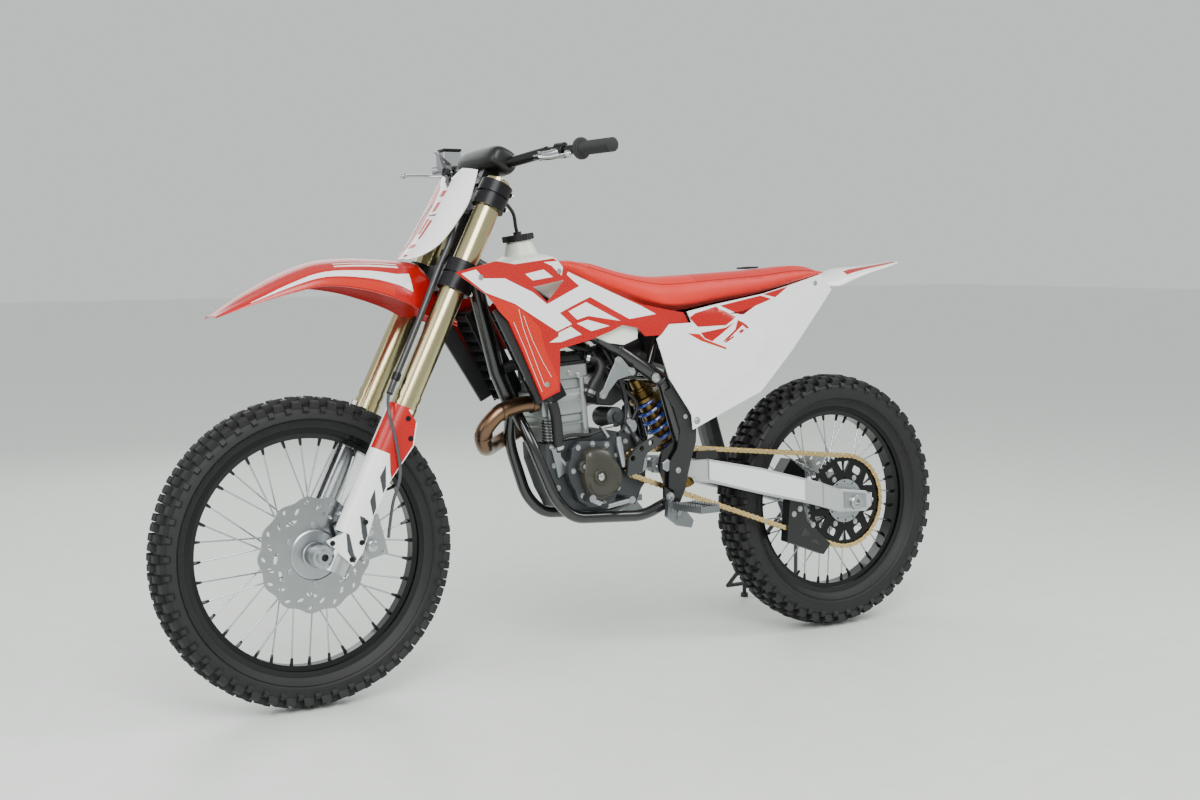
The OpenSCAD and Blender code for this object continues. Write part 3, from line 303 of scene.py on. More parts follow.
def tyre(name, centre, R, hw, rim_r, rim_hw, rows, count, node_name, body):
    """Carcass with bands of blocks: each row is (sideways place, length, width, height, phase, sides)."""
    half = [(R - 15, 0), (R - 15.6, 12), (R - 18.5, 26), (R - 25, 0.84 * hw), (R - 35, hw - 2.5),
            (R - 50, hw - 1.5),
            (rim_r + 24, hw - 3.5), (rim_r + 12, rim_hw + 9), (rim_r + 3, rim_hw + 1.2),
            (rim_r + 0.5, rim_hw + 0.4),
            (rim_r + 0.5, rim_hw - 4), (rim_r - 6, rim_hw - 5), (rim_r - 6, rim_hw - 11),
            (rim_r + 12, rim_hw - 2),
            (R - 45, hw - 9), (R - 27, 0)]
    shape = Shape()
    shape.turned(centre, half[:-1] + [half[-1]] + [(r, -y) for r, y in half[-2:0:-1]], steps=120)
    for y, length, width, height, phase, tilt in rows:
        # Place and outward direction on the carcass at this sideways distance.
        for k in range(len(half) - 1):
            (r0, y0), (r1, y1) = half[k], half[k + 1]
            if y0 <= abs(y) <= y1:
                f = (abs(y) - y0) / (y1 - y0)
                base_r = r0 + (r1 - r0) * f
                slope = math.atan2(r0 - r1, y1 - y0)
                break
        lean = slope * 0.9 if tilt is None else math.radians(tilt)
        side = 1 if y >= 0 else -1
        for i in range(count):
            a = 2 * math.pi * (i + phase) / count
            out = Vector((math.cos(a), 0, math.sin(a)))
            along = Vector((-math.sin(a), 0, math.cos(a)))
            up = out * math.cos(lean) + Vector((0, side * math.sin(lean), 0))
            across = along.cross(up)
            foot = Vector(centre) + out * base_r + Vector((0, y, 0))
            rings = []
            for h, s in ((-3, 1.12), (height - 1.4, 0.96), (height, 0.84)):
                rings.append([foot + up * h + along * (sx * length * s / 2) + across * (sy * width * s / 2)
                              for sx, sy in ((-1, -1), (1, -1), (1, 1), (-1, 1))])
            shape.rings(rings)
    made = shape.made(name, tyre_rubber, body, stands_for=[node_name], slot="tyre", sharp=28)
    # Raised band and plain ring on the sidewall.
    ring = Shape()
    for side in (1, -1):
        for r in (rim_r + 17, rim_r + 31):
            y = side * (hw - 2.9) if r > rim_r + 20 else side * (hw - 6.8)
            ring.turned(Vector(centre) + Vector((0, y, 0)),
                        [(r - 1.2, -0.4), (r, 0.9 * side), (r + 1.2, -0.4)], steps=120)
    ring.made(name + "_rings", tyre_rubber, body, slot="tyre")
    return made


tyre("front_tyre_blocks", FRONT_AXLE, 350, 45, 278, 24,
     [(-7.5, 15, 11, 13.5, 0, 0), (7.5, 15, 11, 13.5, 0, 0), (-22, 17, 12, 13, 0.5, 8),
      (22, 17, 12, 13, 0.5, 8),
      (0, 10, 9, 12.5, 0.5, 0), (-35, 21, 13, 12.5, 0, 26), (35, 21, 13, 12.5, 0, 26),
      (-41.2, 13, 12, 6, 0.5, 58), (41.2, 13, 12, 6, 0.5, 58)], 50, "front_tyre", "front_wheel")
tyre("rear_tyre_blocks", REAR_AXLE, 341, 55, 253, 29,
     [(-9.5, 17, 15, 14, 0, 0), (9.5, 17, 15, 14, 0, 0), (-28, 21, 14, 13.5, 0.5, 8),
      (28, 21, 14, 13.5, 0.5, 8),
      (0, 12, 13, 13, 0.5, 0), (-44, 24, 15, 13, 0, 26), (44, 24, 15, 13, 0, 26),
      (-50.8, 14, 13, 6, 0.5, 58), (50.8, 14, 13, 6, 0.5, 58)], 44, "rear_tyre", "rear_wheel")

# Black anodised aluminium: dark, with a soft even shine.
rim_black = finish("black_anodised_rim", "0D0D0F", 0.3, metallic=0.6, tint="141417", grain=1.0, vary=0.05,
                   coat=0.3)
# Stainless wire, drawn and polished.
spoke_steel = finish("drawn_stainless", "C9CCD0", 0.22, metallic=1.0, tint="B8BCC0", grain=1.5, vary=0.06)
# Forged alloy, tumbled to a satin.
hub_alloy = finish("tumbled_alloy", "B4B7BA", 0.34, metallic=1.0, tint="9DA1A5", grain=1.4, relief=0.03,
                   vary=0.1)
for name in ("front_rim", "rear_rim"):
    paint_node(name, rim_black, 0.6)
for name in ("front_spokes", "rear_spokes"):
    paint_node(name, spoke_steel)
for name in ("front_hub", "rear_hub"):
    paint_node(name, hub_alloy, 0.5)

SPOKES = 36


def lacing(centre, rim_r, flange_r, flange_y, name, body):
    """Black nipples at the rim, and the bent heads of the spokes in the hub's flanges."""
    nipples, heads = Shape(), Shape()
    for i in range(SPOKES):
        side = 1 if i % 2 == 0 else -1
        turn = 1 if (i // 2) % 2 == 0 else -1
        a = 2 * math.pi * i / SPOKES
        b = a + math.radians(62) * turn
        y0 = side * (flange_y + turn * 2.3)
        low = Vector(centre) + Vector((flange_r * math.cos(b), y0, flange_r * math.sin(b)))
        high = Vector(centre) + Vector(((rim_r - 22) * math.cos(a), side * 5, (rim_r - 22) * math.sin(a)))
        d = (low - high).normalized()
        nipples.tube([high - d * 2, high + d * 9, high + d * 17, high + d * 19], [4.4, 3.9, 3.3, 2.2], 8,
                     ref=(0.05, 1, 0.02))
        heads.tube([low + Vector((0, -turn * side * 3.6, 0)), low + Vector((0, turn * side * 1.5, 0))], 3.3,
                   8,
                   ref=(1, 0, 0.2))
    nipples.made(name + "_nipples", rim_black, body, slot="rim_black")
    heads.made(name + "_spoke_heads", spoke_steel, body, slot="spoke_steel")


lacing(FRONT_AXLE, 278, 36, 27, "front", "front_wheel")
lacing(REAR_AXLE, 253, 42, 30, "rear", "rear_wheel")

# Laser-cut stainless brake discs, ground in rings, with heat marks towards the edge.
disc_steel = finish("ground_stainless", "AEB0B2", 0.25, metallic=1.0, tint="939699", grain=0.8, relief=0.02,
                    vary=0.08)


def outline_plate(rim, holes, y0, y1, centre, name, mat, body, stands_for, bevel=0.3):
    """A flat plate about the Y axis, cut from an outline with holes, all as [x, z] loops about centre."""
    work = bmesh.new()
    for loop in [rim] + holes:
        points = [work.verts.new(at((centre[0] + x, y0, centre[2] + z))) for x, z in loop]
        for i in range(len(points)):
            work.edges.new((points[i], points[(i + 1) % len(points)]))
    bmesh.ops.triangle_fill(work, edges=work.edges[:], use_beauty=True, use_dissolve=False)
    made = bmesh.ops.extrude_face_region(work, geom=work.faces[:])
    lift = at((0, y1, 0)) - at((0, y0, 0))
    for element in made["geom"]:
        if isinstance(element, bmesh.types.BMVert):
            element.co += lift
    bmesh.ops.recalc_face_normals(work, faces=work.faces)
    mesh = bpy.data.meshes.new(name)
    work.to_mesh(mesh)
    work.free()
    part = bpy.data.objects.new(name, mesh)
    bpy.context.collection.objects.link(part)
    mesh.materials.append(mat)
    if bevel:
        edge = part.modifiers.new("edge", "BEVEL")
        edge.width = bevel / 1000
        edge.segments = 1
        edge.limit_method = "ANGLE"
        edge.angle_limit = math.radians(60)
    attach(part, body)
    if stands_for:
        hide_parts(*stands_for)
    return part


def loop_of(function, steps):
    return [function(2 * math.pi * k / steps) for k in range(steps)]


def oval(r, a, length, width, twist=0.0, steps=20):
    """A rounded slot at radius r and angle a."""
    points = []
    for k in range(steps):
        t = 2 * math.pi * k / steps
        u, v = length / 2 * math.cos(t), width / 2 * math.sin(t)
        x = r + u * math.cos(twist) - v * math.sin(twist)
        z = u * math.sin(twist) + v * math.cos(twist)
        points.append((x * math.cos(a) - z * math.sin(a), x * math.sin(a) + z * math.cos(a)))
    return points


def brake_disc(centre, y, R, eye, lobes, name, node_name, body, face):
    edge = loop_of(lambda t: ((R - 3.2 + 3.0 * math.cos(lobes * t)) * math.cos(t),
                              (R - 3.2 + 3.0 * math.cos(lobes * t)) * math.sin(t)), lobes * 16)
    holes = [loop_of(lambda t: (eye * math.cos(t), eye * math.sin(t)), 60)]
    for k in range(lobes):
        a = 2 * math.pi * k / lobes
        holes.append(oval(R - 13, a, 13, 6.5, 0.9))
        holes.append(oval(R - 26, a + math.pi / lobes, 16, 7, 0.9))
        if k % 2 == 0:
            holes.append(oval(R - 41, a, 9, 27, 0.25))
    y0 = y - 1.5 if y > 0 else y - 1.5
    outline_plate(edge, holes, y0, y0 + 3, centre, name, disc_steel, body, [node_name])
    buttons = Shape()
    for k in range(6):
        a = math.radians(60 * k + 30)
        p = Vector(centre) + Vector(((eye + 9) * math.cos(a), y + face * 1.5, (eye + 9) * math.sin(a)))
        buttons.bolt(p, (0, face, 0), 6.2, 2.6, 20, washer=8)
        buttons.bolt(p + Vector((0, face * 2.6, 0)), (0, face, 0), 2.6, 0.6, 6)
    buttons.made(name + "_buttons", hub_alloy, body, slot="hub_alloy")


brake_disc(FRONT_AXLE, 62, 130, 56.5, 13, "front_brake_disc", "front_disc", "front_wheel", 1)
brake_disc(REAR_AXLE, -62, 120, 44.5, 12, "rear_brake_disc", "rear_disc", "rear_wheel", -1)

# ---------------------------------------------------------------------------------------------
# Fork: champagne anodised outer tubes in black forged clamps, polished inner tubes with cast lugs
# that clamp the axle, and moulded guards bolted to the lugs.
# Hard anodised aluminium: warm grey gold with a satin sheen.
fork_gold = finish("champagne_anodised", "C2B78F", 0.22, metallic=1.0, tint="B3A780", grain=1.0, vary=0.05,
                   stretch=(1, 1, 0.1))
# Chromed steel tube.
leg_chrome = finish("cast_lug_alloy", "BDC0C3", 0.3, metallic=1.0, tint="AEB1B4", grain=1.2, relief=0.03,
                    vary=0.08)
# Forged aluminium, black anodised and bead blasted.
clamp_black = finish("blasted_black_alloy", "111114", 0.36, metallic=0.5, tint="18181B", grain=0.9,
                     relief=0.04)
# Zinc plated steel bolts.
bolt_zinc = finish("zinc_plated_steel", "C6C8C9", 0.28, metallic=1.0, tint="B4B5B2", grain=1.0, vary=0.08)
# Plastic guards and panels: injection moulded polypropylene, glossy, with a faint orange peel.
white_gloss = finish("moulded_white_polypropylene", "F4F6F4", 0.24, tint="EEF1EE", grain=3.0, relief=0.01,
                     coat=0.35)
red_gloss = finish("moulded_red_polypropylene", "AE0400", 0.28, tint="B60602", grain=3.0, relief=0.01,
                   coat=0.15)
# Printed vinyl decals under a clear gloss laminate.
decal_white = finish("laminated_white_vinyl", "F2F3F1", 0.2, tint="ECEEEC", grain=4.0, coat=0.5)
decal_red = finish("laminated_red_vinyl", "B40500", 0.28, tint="AC0400", grain=4.0, coat=0.15)
decal_orange = finish("laminated_orange_vinyl", "C82204", 0.28, tint="BC1C02", grain=4.0, coat=0.15)
decal_black = finish("laminated_black_vinyl", "151517", 0.22, tint="1D1D20", grain=4.0, coat=0.4)
decal_grey = finish("laminated_dark_grey_vinyl", "3B3D42", 0.24, tint="33353A", grain=4.0, coat=0.4)

paint_node("triple_clamps", clamp_black, 1.2)
paint_node("fork_tubes", fork_gold, 0.8)
paint_node("fork_legs", leg_chrome, 0.8)
paint_node("fork_guards", white_gloss, 0.6)
paint_node("front_axle", hub_alloy, 0.5)

fork_bolts = Shape()
caps = Shape()
for side in (1, -1):
    for z in (671, 721, 885, 922):
        # Pinch bolts behind each clamp.
        fork_bolts.bolt(fork((-76, side * 122, z)), Vector(fork((-1, 0, 0))) - Vector(fork((0, 0, 0))), 4.6,
                        6, 6, washer=6)
    top = Vector(fork((-40, side * 107, 940)))
    up = Vector(fork((0, 0, 1))) - Vector(fork((0, 0, 0)))
    caps.tube([top, top + up * 3, top + up * 5], [27, 27, 24], 40)
    caps.bolt(top + up * 5, up, 14, 5, 6)
    caps.bolt(top + up * 10, up, 5, 4, 12)
    for z in (-14, 32):
        fork_bolts.bolt(fork((-12, side * 120, z)) if z < 0 else fork((-22, side * 120, z)), (0, side, 0),
                        5, 4, 6, washer=7)
fork_bolts.made("fork_pinch_bolts", bolt_zinc, "steering", slot="steel")
caps.made("fork_caps", fork_gold, "steering", slot="fork_gold")


def decal(name, outline, mat, body, depth, lift=0.45, step=18.0, place=None, side=1, thick=0.4,
          holes=(), stands_for=()):
    """A sheet on a curved panel: an outline of [x, z] points laid on the surface y = depth(x, z)."""
    work = bmesh.new()
    for loop in [outline] + list(holes):
        points = [work.verts.new((x, 0, z)) for x, z in loop]
        for i in range(len(points)):
            work.edges.new((points[i], points[(i + 1) % len(points)]))
    bmesh.ops.triangle_fill(work, edges=work.edges[:], use_beauty=True)
    for axis in (0, 2):
        places = [p[axis // 2] for p in outline]
        x = math.floor(min(places) / step) * step + step
        normal = (1, 0, 0) if axis == 0 else (0, 0, 1)
        while x < max(places):
            bmesh.ops.bisect_plane(work, geom=work.verts[:] + work.edges[:] + work.faces[:],
                                   plane_co=[x * n for n in normal], plane_no=normal)
            x += step
    bmesh.ops.triangulate(work, faces=work.faces[:])
    for v in work.verts:
        p = (v.co.x, side * (depth(v.co.x, v.co.z) + lift), v.co.z)
        v.co = at(place(p) if place else p)
    for f in work.faces:
        f.normal_update()
        if f.normal.y * side < 0:
            f.normal_flip()
    thicken(work, 0, thick / 1000)
    mesh = bpy.data.meshes.new(name)
    work.to_mesh(mesh)
    work.free()
    mesh.shade_smooth()
    mesh.set_sharp_from_angle(angle=math.radians(40))
    mesh.materials.append(mat)
    part = bpy.data.objects.new(name, mesh)
    bpy.context.collection.objects.link(part)
    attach(part, body)
    if stands_for:
        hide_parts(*stands_for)
    return part


def strip(name, surface, spans, mat, body, lift, across=6, thick=0.5, stands_for=(), steps=4):
    """Sheet between two lines on a surface: spans are (s, t low, t high)."""
    rows = []
    for k in range(len(spans) - 1):
        for j in range(steps):
            f = j / steps
            rows.append([spans[k][m] + (spans[k + 1][m] - spans[k][m]) * f for m in range(3)])
    rows.append(spans[-1])
    work = bmesh.new()
    grid = [[work.verts.new(at(surface(s, a + (b - a) * q / across,
                                       lift))) for q in range(across + 1)] for s, a, b in rows]
    for i in range(len(rows) - 1):
        for q in range(across):
            work.faces.new([grid[i][q], grid[i][q + 1], grid[i + 1][q + 1], grid[i + 1][q]])
    thicken(work, thick / 2000, thick / 2000)
    bmesh.ops.recalc_face_normals(work, faces=work.faces[:])
    mesh = bpy.data.meshes.new(name)
    work.to_mesh(mesh)
    work.free()
    mesh.shade_smooth()
    mesh.set_sharp_from_angle(angle=math.radians(50))
    mesh.materials.append(mat)
    made = bpy.data.objects.new(name, mesh)
    bpy.context.collection.objects.link(made)
    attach(made, body)
    if stands_for:
        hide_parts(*stands_for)
    return made


def curve_through(points, steps=6):
    """A smooth line through given points."""
    out = []
    pts = [Vector(p) for p in points]
    for i in range(len(pts) - 1):
        p0, p1, p2, p3 = pts[max(i - 1, 0)], pts[i], pts[i + 1], pts[min(i + 2, len(pts) - 1)]
        for k in range(steps):
            t = k / steps
            out.append(0.5 * (2 * p1 + (p2 - p0) * t + (2 * p0 - 5 * p1 + 4 * p2 - p3) * t * t
                              + (3 * p1 - p0 - 3 * p2 + p3) * t ** 3))
    return out + [pts[-1]]


GUARD_FACE = 143.0
guard_prints = {
    "guard_red_top": (decal_red, [(-66, 352), (-42, 366), (-38, 366), (-38, 262), (-56, 226), (-64, 214),
                                  (-81, 300)]),
    "guard_grey_upper": (decal_grey, [(-40, 236), (-38, 206), (-60, 176), (-60, 192)]),
    "guard_grey_middle": (decal_grey, [(-38, 178), (-38, 150), (-59, 122), (-58, 142)]),
    "guard_grey_lower": (decal_grey, [(-30, 112), (-44, 112), (-64, 80), (-66, 58), (-50, 78)]),
    "guard_grey_edge": (decal_grey, [(-16, 66), (-24, 66), (-52, 30), (-62, 24), (-61, 12), (-36, 30)]),
}
for side, label in ((1, "left"), (-1, "right")):
    for name, (mat, outline) in guard_prints.items():
        decal(name + "_" + label, outline, mat, "steering", lambda x, z: GUARD_FACE, place=fork, side=side)
    # The quarter round front of each guard: red above, white below, like its flat side.
    strip("guard_red_wrap_" + label, lambda k, t, lift: Vector(fork((
        -40 + (36.4 + lift) * math.cos(math.radians(48 + 42 * t)),
        side * (107 + (36.4 + lift) * math.sin(math.radians(48 + 42 * t))), (372, 330, 268, 262)[round(k)]))),
        [(k, -1, 1) for k in range(4)], decal_red, "steering", 0.0, across=8, steps=1)
guard_bolts = Shape()
for side in (1, -1):
    for x, z in ((4, 34), (-52, 18), (-58, 60), (-48, 104), (-46, 350), (-70, 312)):
        guard_bolts.bolt(fork((x, side * 143.2, z)), (0, side, 0), 4.2, 2.6, 20, washer=6)
guard_bolts.made("guard_bolts", clamp_black, "steering", slot="black_plastic")

# Brake caliper: two pistons in a cast body, hard anodised, bolted to the left leg's lug.
paint_node("front_caliper", hub_alloy, 2.0)
paint_node("rear_caliper", clamp_black, 2.0)
caliper_bits = Shape()
turn = math.radians(-13)
for x, z in ((-122, 18), (-122, -18)):
    c = FRONT_AXLE + Vector((x * math.cos(turn) - z * math.sin(turn), 96,
                             x * math.sin(turn) + z * math.cos(turn)))
    caliper_bits.tube([c, c + Vector((0, 3, 0)), c + Vector((0, 4.5, 0))], [12, 12, 9.5], 28,
                      ref=(1, 0.02, 0))
    caliper_bits.tube([c + Vector((0, 4.5, 0)), c + Vector((0, 6, 0))], [4, 3.6], 6, ref=(1, 0.02, 0))
for x, z in ((-100, 44), (-148, 40), (-148, -40), (-100, -38)):
    c = FRONT_AXLE + Vector((x * math.cos(turn) - z * math.sin(turn), 90,
                             x * math.sin(turn) + z * math.cos(turn)))
    caliper_bits.bolt(c, (0, 1, 0), 5.5, 5, 6, washer=7.5)
caliper_bits.made("caliper_pistons_and_bolts", bolt_zinc, "steering", slot="caliper_alloy")

# Brake hose: braided line in a woven sleeve above, bare grey line round the leg below.
woven_sleeve = finish("woven_carbon_sleeve", "1B1C1F", 0.35, tint="34363A", grain=2.6, relief=0.3, coat=0.3)
grey_line = finish("nylon_brake_line", "4A4C50", 0.35, tint="3E4044", grain=1.2)
sleeve_path = [(10, 60, 830), (4, 84, 770), (6, 92, 696), (4, 96, 600), (4, 102, 500), (6, 110, 420),
               (8, 118, 386)]


HOSE = [(-30, -206, 1019), (6, -176, 1014), (42, -128, 1002), (62, -78, 988), (68, -34, 972), (66, 0, 950),
        (56, 22, 925),
        (26, 30, 878), (10, 60, 830), (4, 84, 770), (6, 92, 696), (4, 96, 600), (4, 102, 500),
        (6, 110, 420), (8, 118, 380),
        (0, 146, 340), (-40, 147.5, 290), (-78, 147.5, 230), (-96, 128, 170), (-122, 100, 122),
        (-134, 92, 96)]
Shape().tube([fork(p) for p in curve_through(HOSE, 5)], 3.6, 12, ref=(1, 0.2, 0.3)).made(
    "brake_line", grey_line, "steering", stands_for=["brake_hose"], slot="hose")
Shape().tube([fork(p) for p in curve_through(sleeve_path)], 7.5, 14, ref=(1, 0.2, 0.3)).made(
    "hose_sleeve", woven_sleeve, "steering", slot="hose")
clips = Shape()
for p, q in (((4, 84, 742), (4, 86, 728)), ((6, 110, 436), (6, 112, 420)), ((56, 20, 930), (54, 24, 918))):
    clips.tube([fork(p), fork(q)], 10, 16, ref=(1, 0.2, 0.3))
clips.made("hose_clips", clamp_black, "steering", slot="black_plastic")

# ---------------------------------------------------------------------------------------------
# Front mudguard: one moulded red polypropylene shell with a raised middle, screwed up under the
# lower clamp, with a printed white swoosh along its side.
FENDER = [(190, 531, 40, 3), (150, 555, 54, 14), (96, 585, 68, 27), (33, 616, 80, 40), (-41, 641, 88, 51),
          (-121, 648, 93, 66), (-190, 648, 93, 84), (-250, 645, 86, 104), (-290, 640, 70, 122),
          (-316, 606, 62, 84),
          (-324, 560, 58, 48), (-370, 524, 54, 30)]


def along(table, s):
    """Smooth values of a table of stations at place s, counted in stations."""
    i = min(int(s), len(table) - 2)
    t = s - i
    p0, p1, p2, p3 = (Vector(table[max(0, min(len(table) - 1, i + d))][:4]) for d in (-1, 0, 1, 2))
    v = 0.5 * (2 * p1 + (p2 - p0) * t + (2 * p0 - 5 * p1 + 4 * p2 - p3) * t * t + (3 * p1 - p0 - 3 * p2 + p3) * t ** 3)
    return v


def fender_point(s, t, lift=0.0):
    """Surface of the front mudguard at station s and width t from -1 to 1, with its raised middle."""
    x, z, w, drop = along(FENDER, s)
    ang = math.radians(90 * t)
    ridge = 5.0 * max(0.0, 1 - abs(t) / 0.42) ** 0.5 if s < 7 else 0.0
    ridge *= min(1.0, s / 1.5) * min(1.0, max(0.0, (7 - s) / 2))
    return Vector((1485 + x, (w + lift * abs(math.sin(ang))) * math.sin(ang),
                   350 + z - 2 - drop * (1 - math.cos(ang)) + ridge + lift * math.cos(ang)))


whole = [(i, -1, 1) for i in range(12)]
guard = strip("front_mudguard", fender_point, whole, red_gloss, "steering", 0.0, across=28, thick=3.0,
              stands_for=["front_fender"], steps=6)
for side, label in ((1, "left"), (-1, "right")):
    strip("mudguard_swoosh_" + label, fender_point,
          [(1.6, side * 0.80, side * 0.83), (2.6, side * 0.70, side * 0.80), (3.6, side * 0.62, side * 0.76),
           (4.6, side * 0.58, side * 0.74), (5.6, side * 0.56, side * 0.74), (6.4, side * 0.56, side * 0.76),
           (7.0, side * 0.50, side * 0.80)], decal_white, "steering", 2.0)
    strip("mudguard_orange_side_" + label, fender_point,
          [(2.2, side * 0.90, side * 0.97), (3.2, side * 0.84, side * 0.97), (4.2, side * 0.80, side * 0.97),
           (5.2, side * 0.79, side * 0.97), (6.2, side * 0.80, side * 0.97)], decal_orange, "steering", 2.0)
    for k, (a, b) in enumerate(((0.42, 0.46), (0.36, 0.38))):
        strip("mudguard_stripe_%s_%d" % (label, k), fender_point,
              [(4.4, side * a, side * b), (6.6, side * (a - 0.05), side * (b - 0.05))], decal_white,
              "steering", 2.0,
              across=3)
paint_mount = Shape().tube([fork((-58, 0, 640)), fork((-58, 0, 660))], 15, 20)
paint_mount.made("mudguard_mount", clamp_black, "steering", slot="black_plastic")

# ---------------------------------------------------------------------------------------------
# Number plate: white moulded plastic with printed red and black corners, strapped to the bar.
PLATE = [(695, 66, 60, 30), (714, 62, 42, 66), (760, 52, 20, 92), (850, 42, 6, 108), (905, 38, 8, 104),
         (946, 34, 10, 92)]


def plate_point(s, t, lift=0.0):
    z, mid, edge, half = along(PLATE, s)
    notch = 0.0
    if s > 4.0 and abs(t) < 0.45:
        notch = -(s - 4.0) * 30 * (1 - (abs(t) / 0.45) ** 2)
    return Vector(fork((mid - (mid - edge) * (0.9 * abs(t) ** 2.6 + 0.04) + 0.4 + lift, half * t, z + notch)))


strip("number_plate_shell", plate_point, [(i, -1, 1) for i in range(6)], white_gloss, "steering", 0.0,
      across=24,
      thick=2.6, stands_for=["number_plate"], steps=5)
strip("plate_red_wing", plate_point, [(0.25, -0.96, -0.3), (1, -0.97, -0.14), (2, -0.97, -0.06),
                                      (3, -0.97, -0.04),
      (3.8, -0.97, -0.14), (4.6, -0.97, -0.6)], decal_red, "steering", 1.7)
strip("plate_dark_flash", plate_point, [(1.2, -0.34, -0.32), (1.8, -0.4, -0.22), (2.5, -0.42, -0.3),
                                        (3.0, -0.36, -0.12)],
      decal_black, "steering", 2.3, across=4)
for k, (s0, s1, a, b, mat) in enumerate((
        (3.9, 4.2, -0.28, -0.12, decal_red), (3.3, 3.6, -0.3, -0.1, decal_red),
        (2.75, 3.05, -0.26, -0.12, decal_red),
        (2.1, 2.55, -0.34, -0.22, decal_red), (1.9, 2.5, -0.14, -0.04, decal_red),
        (1.35, 1.6, -0.34, -0.02, decal_red),
        (2.62, 2.66, -0.34, 0.0, decal_black), (0.5, 0.75, -0.2, 0.1, decal_red))):
    strip("plate_mark_%d" % k, plate_point, [(s0, a + 0.36, b + 0.36), (s1, a + 0.4, b + 0.4)], mat,
          "steering", 1.7, across=4)
Shape().tube([fork((38, 18, 912)), fork((44, 18, 912))], 9, 16, ref=(0, 1, 0)).made(
    "plate_screw", clamp_black, "steering", slot="black_plastic")

# ---------------------------------------------------------------------------------------------
# Handlebar: tapered aluminium tube, black anodised, with a covered foam pad, ribbed rubber grips,
# a clutch lever on the left and the brake master cylinder on the right.
bar_black = finish("black_anodised_tube", "131315", 0.3, metallic=0.55, tint="1A1A1C", grain=1.0, coat=0.2)
grip_rubber = finish("moulded_soft_rubber", "18181A", 0.66, tint="202022", grain=1.5, relief=0.15)
lever_alloy = finish("polished_forged_lever", "B9BCBF", 0.2, metallic=1.0, tint="AEB1B5", grain=1.5,
                     vary=0.06)
pad_cover = finish("printed_nylon_cover", "030304", 0.42, tint="070708", grain=1.1, relief=0.1)
paint_node("handlebar", bar_black, 0.4)
BAR = [Vector(p) for p in ((-40, 0, 988), (-40, 62, 988), (-84, 196, 1032), (-118, 280, 1048),
                           (-134, 396, 1052))]
OUT = (BAR[4] - BAR[3]).normalized()


def mirrored(p, side):
    return (p[0], p[1] * side, p[2])


pad = Shape()
pad_rings = []
for y, w, h, grow in ((-101, 60, 40, 0.7), (-97, 72, 54, 0.9), (-80, 76, 60, 1.0), (-40, 76, 60, 1.03),
                      (0, 76, 60, 1.04),
                      (40, 76, 60, 1.03), (80, 76, 60, 1.0), (97, 72, 54, 0.9), (101, 60, 40, 0.7)):
    ring = []
    for k in range(24):
        a = 2 * math.pi * k / 24
        c, s = math.cos(a), math.sin(a)
        ring.append(fork((-39 + 0.5 * w * grow * math.copysign(abs(c) ** 0.72, c), y,
                          1001 + 0.5 * h * grow * math.copysign(abs(s) ** 0.72, s))))
    pad_rings.append(ring)
pad.rings(pad_rings)
pad_piece = pad.made("bar_pad_foam", pad_cover, "steering", subdivide=1, stands_for=["bar_pad"], slot="foam")

grips, guards_round = Shape(), Shape()
for side in (1, -1):
    rings, radii = [], []
    for k in range(0, 108):
        radii.append(16.0 if k % 4 < 2 else 14.6)
        rings.append(mirrored(BAR[3] + OUT * (11 + k), side))
    grips.tube([fork(p) for p in rings], radii, 20, ref=(0.2, 0.05, 1))
    end = BAR[4] + OUT * 4
    grips.tube([fork(mirrored(BAR[4] - OUT * 1, side)), fork(mirrored(end - OUT * 1.5, side)),
                fork(mirrored(end, side))],
               [16.0, 16, 13.5], 24, ref=(0.2, 0.05, 1))
    guards_round.tube([fork(mirrored(BAR[3] + OUT * q, side)) for q in (4, 5.5, 9.5, 11)], [22, 25, 25, 22],
                      32,
                      ref=(0.2, 0.05, 1))
    guards_round.tube([fork(mirrored(BAR[3] + OUT * q, side)) for q in (11, 14)], [19, 17], 32,
                      ref=(0.2, 0.05, 1))
grips.made("bar_grips", grip_rubber, "steering", stands_for=["grips"], slot="grip_rubber", sharp=50)
guards_round.made("grip_flanges", grip_rubber, "steering", slot="grip_rubber", sharp=50)

